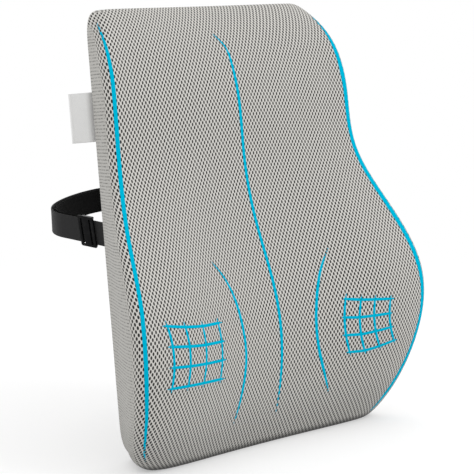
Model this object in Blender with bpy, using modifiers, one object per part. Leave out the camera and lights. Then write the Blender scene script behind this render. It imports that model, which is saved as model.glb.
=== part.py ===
"""Lumbar support cushion: a contoured foam block in a zipped mesh cover with a buckled back strap.

Frame: metres, +Z up, +X to the right of someone facing the cushion, the front faces -Y.
The origin is the middle of the flat base. The back plane leans back by LEAN, so everything on the
cushion is placed in a leaning frame whose XZ plane is the back plane.
"""
import math

import bmesh
import bpy
from mathutils import Vector
from mathutils.bvhtree import BVHTree

# Driving dimensions, in metres.
LEAN = math.radians(6.0)
BASE_HALF_DEPTH = 0.028
BACK_HALF_WIDTH = 0.155
COVER_THICKNESS = 0.003
LINER_THICKNESS = 0.0010
LINER_INSET = 0.0048
FOAM_INSET = 0.0066
CLEARANCE = 0.0003

# Height up the back plane, half width of the front edge, and depth in front of the back plane at
# the spine, at the crest of the side wings and at the front edge.
STATIONS = (
    (-0.004, 0.170, 0.048, 0.053, 0.044),
    (0.012, 0.181, 0.061, 0.068, 0.057),
    (0.045, 0.195, 0.076, 0.091, 0.081),
    (0.100, 0.209, 0.0875, 0.1125, 0.104),
    (0.160, 0.213, 0.082, 0.112, 0.110),
    (0.225, 0.1965, 0.060, 0.079, 0.0805),
    (0.290, 0.171, 0.052, 0.0525, 0.048),
    (0.355, 0.172, 0.055, 0.054, 0.053),
    (0.408, 0.163, 0.0415, 0.044, 0.0435),
    (0.437, 0.150, 0.0255, 0.027, 0.0255),
    (0.450, 0.145, 0.016, 0.016, 0.016),
)
# Columns from the spine outwards: share of the front half width, and share of the wing's extra depth.
FRONT_COLUMNS = ((0.0, 0.0), (0.36, 0.30), (0.68, 1.0), (0.90, 1.0))
# The same columns on the back plane, as a share of its half width.
BACK_COLUMNS = (0.0, 0.30, 0.62, 0.92, 1.006)
EDGE_SPREAD = 1.02
EDGE_PROUD = 0.003
SIDE_ROLL_DEPTH = 0.020
SIDE_TUCK_DEPTH = 0.016
SIDE_TUCK_SPREAD = 0.005
FULL_SIDE_DEPTH = 0.050
REAR_CORNER_SPREAD = 0.004
BASE_FADE_HEIGHT = 0.12

# Sewn sheet that closes the inner bag's back.
LINER_SHEET_HALF_WIDTH = 0.126
LINER_SHEET_SPAN = (0.030, 0.412)
LINER_SHEET_THICKNESS = 0.0008

# Back panel and zipper, in the leaning frame.
OPENING_HALF_WIDTH = 0.145
OPENING_BOTTOM = 0.017
OPENING_TOP = 0.430
OPENING_RADIUS = 0.012
PANEL_GAP = 0.0005
ZIP_HEIGHT = 0.070
ZIP_HALF_SLOT = 0.0125
TAPE_INNER = 0.0012
TAPE_THICKNESS = 0.0009
CHAIN_HALF_LENGTH = 0.128
CHAIN_PITCH = 0.004
CHAIN_INNER = 0.0007
CHAIN_OUTER = 0.0032
CHAIN_ROOT = 0.0020
CHAIN_THICKNESS = 0.0018
TOOTH_SHARE = 0.45
SLIDER_REST_X = -0.121
SLIDER_SIZE = (0.0115, 0.0012, 0.0100)
SLIDER_UNDER_SIZE = (0.0115, 0.0010, 0.0086)
SLIDER_POST_SIZE = (0.0030, 0.0008)
SLIDER_FLANGE_SIZE = (0.0110, 0.0020, 0.0012)
SLIDER_FLANGE_Z = 0.00425
BAIL_HALF_LENGTH = 0.0036
BAIL_HEIGHT = 0.0042
BAIL_WIDTH = 0.0016
BAIL_TUNNEL = (0.0048, 0.0029, 0.0100)
PULL_LENGTH = 0.0270
PULL_HALF_WIDTH = 0.0036
PULL_THICKNESS = 0.0014
STOP_SIZE = (0.0030, 0.0022, 0.0074)
STOP_OFFSET = 0.0022

# Strap and its hardware.
WEB_WIDTH = 0.025
WEB_THICKNESS = 0.0013
STRAP_HEIGHT = 0.227
STRAP_RISE = math.radians(12.0)
STRAP_SPLAY = math.radians(13.0)
STRAP_START = (-0.147, 0.0030)
STRAIGHT_RUN = 0.052
LOOP_BOW = 0.134
LOOP_SOFTNESS = (0.043, 0.030)
LAYER_PITCH = 0.0050
ADJUSTER_AT = 0.022
ADJUSTER_TRAVEL = 0.012
ADJUSTER_LENGTH = 0.020
ADJUSTER_HEIGHT = 0.031
ADJUSTER_BAR = 0.0019
BUCKLE_BAR_X = 0.0335
BUCKLE_BAR_HALF = 0.0010
BUCKLE_WIDTH = 0.034
BUCKLE_SHIFT = 0.014
SOCKET_DEPTH = 0.0110
SOCKET_MOUTH_X = -0.0030
SOCKET_CAVITY = (0.0072, 0.0296)
SOCKET_WALL = 0.0022
SOCKET_WINDOW = (0.0120, 0.0076, 0.050)
SOCKET_WINDOW_X = -0.0150
SOCKET_ARM = (0.0060, 0.0037)
PLUG_THICKNESS = 0.0022
PLUG_SHOULDER_X = 0.0012

# Folded label sewn in the left seam.
LABEL_SEAM = (-0.1562, 0.0022)
LABEL_TURN = math.radians(-35.0)
LABEL_WIDTH = 0.0220
LABEL_SPAN = (0.3180, 0.3670)
LABEL_THICKNESS = 0.0010

# Raised contour lines on the cover.
LINE_LIFT = 0.0012
LINE_THICKNESS = 0.0004
EDGE_LINE_WIDTH = 0.0050
EDGE_LINE_INSET = (0.004, 0.007)
SPINE_LINE_WIDTH = 0.0040
WAIST_LINE_WIDTH = 0.0038
GRID_CELLS = 3
GRID_HALF_STROKE = 0.020
GRID_OVERSHOOT = 0.10

COLORS = {
    "foam": (0.90, 0.86, 0.74),
    "liner": (0.86, 0.86, 0.85),
    "mesh": (0.42, 0.41, 0.39),
    "black_web": (0.012, 0.012, 0.013),
    "black_plastic": (0.008, 0.008, 0.009),
    "zip_tape": (0.30, 0.30, 0.30),
    "zip_metal": (0.35, 0.35, 0.36),
    "label": (0.80, 0.80, 0.79),
    "line_blue": (0.0, 0.45, 0.72),
}


def collection(name):
    made = bpy.data.collections.new(name)
    bpy.context.scene.collection.children.link(made)
    return made


def material(name, color_key, roughness=0.8, metallic=0.0):
    made = bpy.data.materials.new(name)
    made.use_nodes = True
    shader = made.node_tree.nodes["Principled BSDF"]
    shader.inputs["Base Color"].default_value = (*COLORS[color_key], 1.0)
    shader.inputs["Roughness"].default_value = roughness
    shader.inputs["Metallic"].default_value = metallic
    return made


def add_object(name, data, parent, finish, place=(0.0, 0.0, 0.0), group=None):
    made = bpy.data.objects.new(name, data)
    (group or PARTS).objects.link(made)
    made.parent = parent
    made.location = place
    if finish is not None:
        data.materials.append(finish)
    return made


def mesh_from(bm, name, closed=True):
    """Turn a bmesh into mesh data. A closed one gets its faces pointing outwards."""
    if closed:
        bmesh.ops.recalc_face_normals(bm, faces=bm.faces)
        if bm.calc_volume(signed=True) < 0.0:
            bmesh.ops.reverse_faces(bm, faces=bm.faces)
    data = bpy.data.meshes.new(name)
    bm.to_mesh(data)
    bm.free()
    return data


def evaluated_mesh(source):
    """The object's mesh with its modifiers applied, in its own coordinates."""
    bpy.context.view_layer.update()
    graph = bpy.context.evaluated_depsgraph_get()
    return bpy.data.meshes.new_from_object(source.evaluated_get(graph))


def discard(obj):
    bpy.data.objects.remove(obj)


# ---------------------------------------------------------------- cushion form


def cage_point(column, layer, row):
    """Where one vertex of the cushion's cage sits, in the leaning frame."""
    height, half_width, spine, wing, edge = STATIONS[row]
    side = 1.0 if column > 0 else -1.0
    index = abs(column)
    if index == 4:
        front = Vector((EDGE_SPREAD * half_width, -(edge + EDGE_PROUD)))
    else:
        share, extra = FRONT_COLUMNS[index]
        front = Vector((share * half_width, -(spine + extra * (wing - spine))))
    rear_half = min(BACK_HALF_WIDTH, half_width + REAR_CORNER_SPREAD)
    rear = Vector((BACK_COLUMNS[index] * rear_half, -0.001 if index == 4 else 0.0))
    if layer == 0:
        flat = front
    elif layer == 3:
        flat = rear
    elif index == 4:
        roll = Vector((front.x - 0.001, min(front.y + SIDE_ROLL_DEPTH, front.y * 0.62)))
        spread_share = min(1.0, edge / FULL_SIDE_DEPTH)
        tuck = Vector((rear.x + SIDE_TUCK_SPREAD * spread_share, max(-SIDE_TUCK_DEPTH, front.y * 0.30)))
        flat = roll if layer == 1 else tuck
    else:
        flat = front.lerp(rear, 0.38 if layer == 1 else 0.70)
    fade = max(0.0, 1.0 - max(height, 0.0) / BASE_FADE_HEIGHT) ** 2
    return Vector((side * flat.x, flat.y, height + flat.y * math.tan(LEAN) * fade))


def cut_axis(bm, axis, cuts):
    """Cut a box's edges that run along one axis into equal lengths."""
    others = [k for k in range(3) if k != axis]
    chosen = []
    for edge in bm.edges:
        span = edge.verts[1].co - edge.verts[0].co
        if all(abs(span[k]) < 1e-6 for k in others):
            chosen.append(edge)
    bmesh.ops.subdivide_edges(bm, edges=chosen, cuts=cuts, use_grid_fill=True)


def cushion_form():
    """The cushion's outer surface: a box cage bent to the stations and subdivided once."""
    bm = bmesh.new()
    bmesh.ops.create_cube(bm, size=1.0)
    counts = (8, 3, len(STATIONS) - 1)
    for axis, cells in enumerate(counts):
        cut_axis(bm, axis, cells - 1)
    for vert in bm.verts:
        column, layer, row = (round((vert.co[k] + 0.5) * counts[k]) for k in range(3))
        vert.co = cage_point(column - 4, layer, row)
    cage = add_object("cage", mesh_from(bm, "cage"), None, None, group=CUTTERS)
    smooth = cage.modifiers.new("smooth", "SUBSURF")
    smooth.levels = smooth.render_levels = 1
    form = evaluated_mesh(cage)
    discard(cage)
    return form


def cut_base(bm, lift):
    """Cut the form flat, parallel to the floor and the given distance above it."""
    up = Vector((0.0, -math.sin(LEAN), math.cos(LEAN)))
    geometry = bm.verts[:] + bm.edges[:] + bm.faces[:]
    result = bmesh.ops.bisect_plane(bm, geom=geometry, plane_co=up * lift, plane_no=up, clear_inner=True)
    rim = [part for part in result["geom_cut"] if isinstance(part, bmesh.types.BMEdge)]
    bmesh.ops.edgeloop_fill(bm, edges=rim)


def inset_form(inset):
    """The cushion's form moved inwards by the same distance everywhere, with its flat base."""
    bm = bmesh.new()
    bm.from_mesh(FORM)
    bm.normal_update()
    moved = [vert.co - vert.normal * inset * vert.calc_shell_factor() for vert in bm.verts]
    for vert, place in zip(bm.verts, moved):
        vert.co = place
    cut_base(bm, inset)
    return bm


def solidify(obj, thickness, offset=-1.0):
    shell = obj.modifiers.new("shell", "SOLIDIFY")
    shell.thickness = thickness
    shell.offset = offset
    return shell


def foam_core():
    bm = inset_form(FOAM_INSET)
    add_object("foam_core", mesh_from(bm, "foam_core"), AXES, material("memory_foam", "foam", 0.9))


def liner():
    """A thin inner bag around the foam: a front tray and a back sheet, sewn together."""
    finish = material("liner_knit", "liner", 0.95)
    bm = inset_form(LINER_INSET)
    flat_back = [f for f in bm.faces if f.normal.y > 0.97 and f.calc_center_median().y > -LINER_INSET - 0.002]
    bmesh.ops.delete(bm, geom=flat_back, context="FACES")
    tray = add_object("inner_liner_front", mesh_from(bm, "inner_liner_front", closed=False), AXES, finish)
    solidify(tray, LINER_THICKNESS)
    bottom, top = LINER_SHEET_SPAN
    half = LINER_SHEET_HALF_WIDTH
    sheet = rounded_plate("inner_liner_back", half, bottom, top, 0.006, LINER_SHEET_THICKNESS, finish)
    sheet.location.y = -LINER_INSET - 0.0005


# ---------------------------------------------------------------- flat outlines


def outline_object(name, loops, depth, parent, finish, upright=True):
    """A flat outline with holes as a filled 2D curve. Upright ones stand in their parent's XZ plane."""
    curve = bpy.data.curves.new(name, "CURVE")
    curve.dimensions = "2D"
    curve.fill_mode = "BOTH"
    curve.extrude = depth / 2.0
    for loop in loops:
        spline = curve.splines.new("POLY")
        spline.points.add(len(loop) - 1)
        for point, (u, v) in zip(spline.points, loop):
            point.co = (u, v, 0.0, 1.0)
        spline.use_cyclic_u = True
    made = add_object(name, curve, parent, finish)
    if upright:
        made.rotation_euler.x = math.pi / 2.0
    return made


def rounded_loop(left, right, bottom, top, radius, steps=4):
    corners = (
        (right - radius, top - radius, 0.0),
        (left + radius, top - radius, 90.0),
        (left + radius, bottom + radius, 180.0),
        (right - radius, bottom + radius, 270.0),
    )
    loop = []
    for x, y, start in corners:
        for step in range(steps + 1):
            angle = math.radians(start + 90.0 * step / steps)
            loop.append((x + radius * math.cos(angle), y + radius * math.sin(angle)))
    return loop


def rounded_plate(name, half_width, bottom, top, radius, thickness, finish):
    loop = rounded_loop(-half_width, half_width, bottom, top, radius)
    return outline_object(name, [loop], thickness, AXES, finish)


def box(name, size, parent, place, finish, bevel=0.0, group=None):
    bm = bmesh.new()
    bmesh.ops.create_cube(bm, size=1.0)
    bmesh.ops.scale(bm, vec=size, verts=bm.verts)
    made = add_object(name, mesh_from(bm, name), parent, finish, place, group)
    if bevel:
        edge = made.modifiers.new("edge", "BEVEL")
        edge.width = bevel
        edge.segments = 2
    return made


def combine(target, tool, operation):
    """Join a helper shape to the target, or cut it away."""
    tool.hide_render = True
    tool.display_type = "WIRE"
    cut = target.modifiers.new(operation.lower(), "BOOLEAN")
    cut.operation = operation
    cut.object = tool


# ---------------------------------------------------------------- cover


def cover():
    """The outer cover: a mesh front that wraps round the sides, and a back panel in two pieces."""
    bm = inset_form(0.0)
    skin = add_object("cover_front", mesh_from(bm, "cover_front"), AXES, material("spacer_mesh", "mesh"))
    inner_bm = inset_form(COVER_THICKNESS)
    inner = add_object("cover_hollow", mesh_from(inner_bm, "cover_hollow"), AXES, None, group=CUTTERS)
    combine(skin, inner, "DIFFERENCE")
    loop = rounded_loop(-OPENING_HALF_WIDTH, OPENING_HALF_WIDTH, OPENING_BOTTOM, OPENING_TOP, OPENING_RADIUS)
    hole = prism("cover_opening", loop, 0.030, AXES, CUTTERS)
    combine(skin, hole, "DIFFERENCE")

    finish = material("back_mesh", "mesh")
    half = OPENING_HALF_WIDTH - PANEL_GAP
    lower_top = ZIP_HEIGHT - ZIP_HALF_SLOT
    upper_bottom = ZIP_HEIGHT + ZIP_HALF_SLOT
    spans = (
        ("back_panel_lower", OPENING_BOTTOM + PANEL_GAP, lower_top),
        ("back_panel_upper", upper_bottom, OPENING_TOP - PANEL_GAP),
    )
    for name, bottom, top in spans:
        panel = rounded_plate(name, half, bottom, top, OPENING_RADIUS, COVER_THICKNESS, finish)
        panel.location.y = -COVER_THICKNESS / 2.0


def prism(name, loop, depth, parent, group, upright=True):
    """A prism over an outline, as a mesh. Upright ones stand in their parent's XZ plane."""
    bm = bmesh.new()
    drop = (0.0, -depth / 2.0, 0.0) if upright else (0.0, 0.0, -depth / 2.0)
    rise = Vector(drop) * -2.0
    base = [bm.verts.new((u, drop[1], v) if upright else (u, v, drop[2])) for u, v in loop]
    raised = bmesh.ops.extrude_face_region(bm, geom=[bm.faces.new(base)])
    top = [part for part in raised["geom"] if isinstance(part, bmesh.types.BMVert)]
    bmesh.ops.translate(bm, verts=top, vec=rise)
    return add_object(name, mesh_from(bm, name), parent, None, group=group)


# ---------------------------------------------------------------- zipper


def zipper_tapes():
    finish = material("zip_tape", "zip_tape", 0.9)
    outer = ZIP_HALF_SLOT - PANEL_GAP
    half = OPENING_HALF_WIDTH - PANEL_GAP
    for name, sign in (("zipper_tape_lower", -1.0), ("zipper_tape_upper", 1.0)):
        size = (2.0 * half, TAPE_THICKNESS, outer - TAPE_INNER)
        place = (0.0, -COVER_THICKNESS / 2.0, ZIP_HEIGHT + sign * (outer + TAPE_INNER) / 2.0)
        box(name, size, AXES, place, finish)


def zipper_chains():
    """Two rows of teeth, each one comb whose teeth point at the other row."""
    finish = material("zip_teeth", "zip_tape", 0.5)
    count = int(2.0 * CHAIN_HALF_LENGTH / CHAIN_PITCH)
    for name, sign, shift in (("zipper_teeth_lower", -1.0, 0.25), ("zipper_teeth_upper", 1.0, 0.45)):
        loop = [(-CHAIN_HALF_LENGTH, sign * CHAIN_OUTER), (CHAIN_HALF_LENGTH, sign * CHAIN_OUTER)]
        loop.append((CHAIN_HALF_LENGTH, sign * CHAIN_ROOT))
        for tooth in range(count - 1, -1, -1):
            start = -CHAIN_HALF_LENGTH + (tooth + shift) * CHAIN_PITCH
            end = start + TOOTH_SHARE * CHAIN_PITCH
            loop += [(end, sign * CHAIN_ROOT), (end, sign * CHAIN_INNER)]
            loop += [(start, sign * CHAIN_INNER), (start, sign * CHAIN_ROOT)]
        loop.append((-CHAIN_HALF_LENGTH, sign * CHAIN_ROOT))
        teeth = outline_object(name, [loop], CHAIN_THICKNESS, AXES, finish)
        tape_face = -COVER_THICKNESS / 2.0 + TAPE_THICKNESS / 2.0
        teeth.location = (0.0, tape_face + CLEARANCE + CHAIN_THICKNESS / 2.0, ZIP_HEIGHT)


def axis_holder(name, parent, place):
    """An empty that carries a moving piece's joint axis."""
    holder = bpy.data.objects.new(name, None)
    PARTS.objects.link(holder)
    holder.parent = parent
    holder.location = place
    return holder


def zipper_slider():
    """Slider body, pierced by the bail that carries the pull tab, on the zipper's centre line."""
    metal = material("slider_metal", "zip_metal", 0.35, 1.0)
    holder = axis_holder("slider_axis", AXES, (SLIDER_REST_X, 0.0, ZIP_HEIGHT))
    plate_y = CHAIN_THICKNESS + CLEARANCE
    under_y = -COVER_THICKNESS / 2.0 - TAPE_THICKNESS / 2.0 - 0.0009
    post_length, post_width = SLIDER_POST_SIZE
    slider = box("zipper_slider", SLIDER_SIZE, holder, (0.0, plate_y + 0.0005, 0.0), metal)
    pieces = [
        ("slider_under", SLIDER_UNDER_SIZE, (0.0, under_y, 0.0)),
        ("slider_post", (post_length, plate_y - under_y, post_width), (0.0, (plate_y + under_y) / 2.0, 0.0)),
        ("slider_flange_upper", SLIDER_FLANGE_SIZE, (0.0, plate_y - 0.0008, SLIDER_FLANGE_Z)),
        ("slider_flange_lower", SLIDER_FLANGE_SIZE, (0.0, plate_y - 0.0008, -SLIDER_FLANGE_Z)),
    ]
    for name, size, place in pieces:
        combine(slider, box(name, size, holder, place, None, group=CUTTERS), "UNION")
    roof = plate_y + 0.0011
    shoulder = BAIL_HALF_LENGTH - 0.0012
    crown = roof + BAIL_HEIGHT
    arch = [(-BAIL_HALF_LENGTH, roof - 0.0004), (BAIL_HALF_LENGTH, roof - 0.0004)]
    arch += [(BAIL_HALF_LENGTH, crown - 0.0012), (shoulder, crown)]
    arch += [(-shoulder, crown), (-BAIL_HALF_LENGTH, crown - 0.0012)]
    combine(slider, prism("slider_bail", arch, BAIL_WIDTH, holder, CUTTERS, upright=False), "UNION")
    eye = (0.0, roof + BAIL_TUNNEL[1] / 2.0, 0.0)
    combine(slider, box("slider_tunnel", BAIL_TUNNEL, holder, eye, None, group=CUTTERS), "DIFFERENCE")
    zipper_pull(axis_holder("pull_axis", holder, eye))


def zipper_pull(hinge):
    """Pull tab whose end bar turns in the slider's bail."""
    metal = material("pull_metal", "zip_metal", 0.3, 1.0)
    outer = rounded_loop(-0.0008, PULL_LENGTH, -PULL_HALF_WIDTH, PULL_HALF_WIDTH, 0.0006)
    window = rounded_loop(0.0008, 0.0046, -0.0017, 0.0017, 0.0003, steps=1)
    grip_hole = rounded_loop(PULL_LENGTH - 0.0080, PULL_LENGTH - 0.0030, -0.0018, 0.0018, 0.0016)
    outline_object("zipper_pull_tab", [outer, window, grip_hole], PULL_THICKNESS, hinge, metal)


def zipper_stops():
    """The stops crimped on the two ends of the teeth."""
    metal = material("stop_metal", "zip_metal", 0.35, 1.0)
    for name, sign in (("zipper_stop_closed_end", -1.0), ("zipper_stop_open_end", 1.0)):
        place = (sign * (CHAIN_HALF_LENGTH + STOP_OFFSET), 0.0002, ZIP_HEIGHT)
        box(name, STOP_SIZE, AXES, place, metal, 0.0003)


# ---------------------------------------------------------------- strap


def cubic(p0, p1, p2, p3, steps):
    points = []
    for step in range(1, steps + 1):
        t = step / steps
        s = 1.0 - t
        points.append(s ** 3 * p0 + 3.0 * s * s * t * p1 + 3.0 * s * t * t * p2 + t ** 3 * p3)
    return points


def run_direction():
    return Vector((-math.sin(STRAP_SPLAY), math.cos(STRAP_SPLAY)))


def loop_path(start_at=0.0, extra=BUCKLE_SHIFT):
    """Centre line of the left half of the strap, from the seam to the buckle, seen from above."""
    seam = Vector(STRAP_START)
    bend = seam + run_direction() * STRAIGHT_RUN
    last = Vector((-BUCKLE_BAR_X + min(extra, 0.0), LOOP_BOW + LAYER_PITCH / 2.0))
    path = [seam + run_direction() * start_at]
    if start_at < STRAIGHT_RUN:
        path.append(bend)
    control_a = bend + run_direction() * LOOP_SOFTNESS[0]
    control_b = last - Vector((LOOP_SOFTNESS[1], 0.0))
    path += cubic(bend, control_a, control_b, last, 14)
    if extra > 0.0:
        path.append(last + Vector((extra, 0.0)))
    return path


def shifted(path, distance):
    """The path moved sideways, to its right-hand side, by a distance."""
    moved = []
    for index, point in enumerate(path):
        before = path[max(index - 1, 0)]
        after = path[min(index + 1, len(path) - 1)]
        along = (after - before).normalized()
        moved.append(point + Vector((along.y, -along.x)) * distance)
    return moved


def band_loop(path):
    """Closed outline of a strip of webbing that follows a path."""
    half = WEB_THICKNESS / 2.0
    return shifted(path, half) + shifted(path, -half)[::-1]


def turn(centre, radius, steps=6):
    """Half a turn round a bar, from its far side to its near side, on the side of +X."""
    points = []
    for step in range(steps + 1):
        angle = math.pi / 2.0 - math.pi * step / steps
        points.append(centre + Vector((math.cos(angle), math.sin(angle))) * radius)
    return points


def strap_left():
    """Webbing sewn in the left seam, folded round the buckle bar and led back to the adjuster."""
    bar = Vector((-BUCKLE_BAR_X + BUCKLE_SHIFT, LOOP_BOW))
    out = loop_path()[:-1]
    back_start = ADJUSTER_AT + ADJUSTER_LENGTH / 2.0 + ADJUSTER_TRAVEL + 0.001
    back = shifted(loop_path(back_start), LAYER_PITCH)[:-1][::-1]
    path = out + turn(bar, LAYER_PITCH / 2.0) + back
    finish = material("webbing", "black_web", 0.75)
    outline_object("strap_left", [band_loop(path)], WEB_WIDTH, STRAP, finish, upright=False)


def strap_right():
    """Webbing sewn in the right seam, folded round the buckle plug's bar and stitched back."""
    bar = Vector((-BUCKLE_BAR_X - BUCKLE_SHIFT, LOOP_BOW))
    half = loop_path(extra=-BUCKLE_SHIFT)
    out = half[:-1]
    fold = shifted(half, LAYER_PITCH)[-5:-1][::-1]
    path = [Vector((-p.x, p.y)) for p in out + turn(bar, LAYER_PITCH / 2.0) + fold]
    finish = material("webbing_right", "black_web", 0.75)
    outline_object("strap_right", [band_loop(path)], WEB_WIDTH, STRAP, finish, upright=False)


def strap_adjuster():
    """Tri-glide: a frame whose outer bars pass outside the webbing and whose middle bar passes inside."""
    finish = material("adjuster_plastic", "black_plastic", 0.25)
    centre = Vector(STRAP_START) + run_direction() * ADJUSTER_AT
    holder = axis_holder("adjuster_axis", STRAP, (centre.x, centre.y, 0.0))
    holder.rotation_euler.z = STRAP_SPLAY
    gap = WEB_THICKNESS / 2.0 + CLEARANCE
    bar = ADJUSTER_BAR
    rail_height = (ADJUSTER_HEIGHT - WEB_WIDTH) / 2.0 - 0.0005
    rail_z = ADJUSTER_HEIGHT / 2.0 - rail_height / 2.0
    depth = 2.0 * (gap + bar)
    frame = box("strap_adjuster", (depth, ADJUSTER_LENGTH, rail_height), holder, (0.0, 0.0, rail_z), finish)
    pieces = [("adjuster_rail", (depth, ADJUSTER_LENGTH, rail_height), (0.0, 0.0, -rail_z))]
    long = ADJUSTER_HEIGHT - rail_height
    for tag, sign in (("a", 1.0), ("b", -1.0)):
        place = (-(gap + bar / 2.0), sign * (ADJUSTER_LENGTH / 2.0 - 0.0018), 0.0)
        pieces.append(("adjuster_bar_" + tag, (bar, 0.0036, long), place))
    pieces.append(("adjuster_middle_bar", (bar, 0.0034, long), (gap + bar / 2.0, 0.0, 0.0)))
    for name, size, place in pieces:
        combine(frame, box(name, size, holder, place, None, group=CUTTERS), "UNION")


def buckle_slot():
    """Room between a buckle's bar and its body for the folded webbing."""
    return 2.0 * (LAYER_PITCH / 2.0 - BUCKLE_BAR_HALF) + 0.0006


def buckle_socket():
    """Socket of the side-release buckle: a flat sleeve with side windows and a bar for the webbing."""
    finish = material("buckle_socket_plastic", "black_plastic", 0.3)
    body_left = -BUCKLE_BAR_X + BUCKLE_BAR_HALF + buckle_slot()
    length = SOCKET_MOUTH_X - body_left
    centre_x = (body_left + SOCKET_MOUTH_X) / 2.0
    size = (length, SOCKET_DEPTH, BUCKLE_WIDTH)
    socket = box("buckle_socket", size, BUCKLE, (centre_x, LOOP_BOW, 0.0), finish)
    cavity_place = (centre_x + SOCKET_WALL, LOOP_BOW, 0.0)
    window_place = (SOCKET_WINDOW_X, LOOP_BOW, 0.0)
    cuts = (
        ("socket_cavity", (length, *SOCKET_CAVITY), cavity_place),
        ("socket_windows", SOCKET_WINDOW, window_place),
    )
    for name, cut_size, place in cuts:
        combine(socket, box(name, cut_size, BUCKLE, place, None, group=CUTTERS), "DIFFERENCE")
    arm_depth, arm_height = SOCKET_ARM
    arm_length = buckle_slot() + 2.0 * BUCKLE_BAR_HALF + 0.002
    arm_x = body_left - arm_length / 2.0 + 0.001
    arm_z = BUCKLE_WIDTH / 2.0 - arm_height / 2.0
    bar_size = (2.0 * BUCKLE_BAR_HALF, 2.0 * BUCKLE_BAR_HALF, BUCKLE_WIDTH - 0.002)
    additions = (
        ("socket_arm_upper", (arm_length, arm_depth, arm_height), (arm_x, LOOP_BOW, arm_z)),
        ("socket_arm_lower", (arm_length, arm_depth, arm_height), (arm_x, LOOP_BOW, -arm_z)),
        ("socket_bar", bar_size, (-BUCKLE_BAR_X, LOOP_BOW, 0.0)),
    )
    for name, add_size, place in additions:
        combine(socket, box(name, add_size, BUCKLE, place, None, group=CUTTERS), "UNION")


def buckle_plug():
    """Plug of the side-release buckle: a frame with a webbing slot, two barbed prongs and a guide."""
    finish = material("buckle_plug_plastic", "black_plastic", 0.3)
    half = BUCKLE_WIDTH / 2.0
    inner = PLUG_SHOULDER_X
    outer_x = BUCKLE_BAR_X + BUCKLE_BAR_HALF
    prong = [(inner, 0.0132), (-0.0050, 0.0118), (-0.0070, 0.0144), (-0.0150, 0.0144), (-0.0205, 0.0092)]
    prong += [(-0.0180, 0.0086), (-0.0060, 0.0086), (inner, 0.0080)]
    guide = [(inner, 0.0024), (-0.0170, 0.0016)]
    frame = [(outer_x, half - 0.001), (outer_x - 0.001, half), (inner + 0.002, half), (inner, half - 0.002)]
    side = frame + prong + guide
    mirrored = [(x, -z) for x, z in side][::-1]
    slot_right = BUCKLE_BAR_X - BUCKLE_BAR_HALF
    slot_left = slot_right - buckle_slot()
    slot_half = WEB_WIDTH / 2.0 + 0.0009
    opening = [(slot_left, -slot_half), (slot_right, -slot_half)]
    opening += [(slot_right, slot_half), (slot_left, slot_half)]
    plug = outline_object("buckle_plug", [side + mirrored, opening], PLUG_THICKNESS, BUCKLE, finish)
    plug.location.y = LOOP_BOW


# ---------------------------------------------------------------- label and lines


def label_tag():
    """Folded woven label sewn in the left seam, standing out sideways and back."""
    finish = material("label_fabric", "label", 0.9)
    holder = axis_holder("label_axis", AXES, (*LABEL_SEAM, 0.0))
    holder.rotation_euler.z = LABEL_TURN
    loop = rounded_loop(-LABEL_WIDTH, 0.0, *LABEL_SPAN, 0.0010, steps=2)
    outline_object("label_tag", [loop], LABEL_THICKNESS, holder, finish)


def ribbon(name, path, width, finish):
    """A raised strip on the cover that follows a path, with its ends tapered."""
    bm = bmesh.new()
    rings = []
    last = len(path) - 1
    for index, (place, _) in enumerate(path):
        near = [normal for _, normal in path[max(index - 2, 0):index + 3]]
        normal = sum(near, Vector()).normalized()
        along = (path[min(index + 1, last)][0] - path[max(index - 1, 0)][0]).normalized()
        across = normal.cross(along).normalized()
        share = index / last
        half = 0.5 * width * max(0.22, min(1.0, 5.0 * share, 5.0 * (1.0 - share)))
        corners = ((-half, 0.0), (half, 0.0), (half, LINE_THICKNESS), (-half, LINE_THICKNESS))
        ring = [bm.verts.new(place + across * a + normal * (LINE_LIFT + b)) for a, b in corners]
        if rings:
            for k in range(4):
                bm.faces.new((rings[-1][k], rings[-1][(k + 1) % 4], ring[(k + 1) % 4], ring[k]))
        rings.append(ring)
    bm.faces.new(rings[0][::-1])
    bm.faces.new(rings[-1])
    add_object(name, mesh_from(bm, name), AXES, finish)


def front_point(x, height):
    """Point and normal of the cover's front at a sideways place and a height up the back."""
    place, normal, _, _ = FORM_TREE.ray_cast(Vector((x, -0.4, height)), Vector((0.0, 1.0, 0.0)))
    return place, normal


def smooth_value(knots, at):
    """A smooth curve through a few (position, value) knots."""
    for (a, va), (b, vb) in zip(knots, knots[1:]):
        if at <= b:
            t = max(0.0, (at - a) / (b - a))
            return va + (vb - va) * t * t * (3.0 - 2.0 * t)
    return knots[-1][1]


def edge_point(side, height):
    """Point and normal on the cushion's front side edge at a height."""
    rows = [(h, half, edge) for h, half, _, _, edge in STATIONS]
    for (h0, w0, e0), (h1, w1, e1) in zip(rows, rows[1:]):
        if height <= h1:
            t = (height - h0) / (h1 - h0)
            inset = EDGE_LINE_INSET[0] if side < 0.0 else EDGE_LINE_INSET[1]
            guess = Vector((side * (w0 + (w1 - w0) * t - inset), -(e0 + (e1 - e0) * t + inset / 2.0), height))
            place, normal, _, _ = FORM_TREE.find_nearest(guess)
            return place, normal
    return None


def spread(start, end, steps):
    return [start + (end - start) * step / steps for step in range(steps + 1)]


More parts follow.
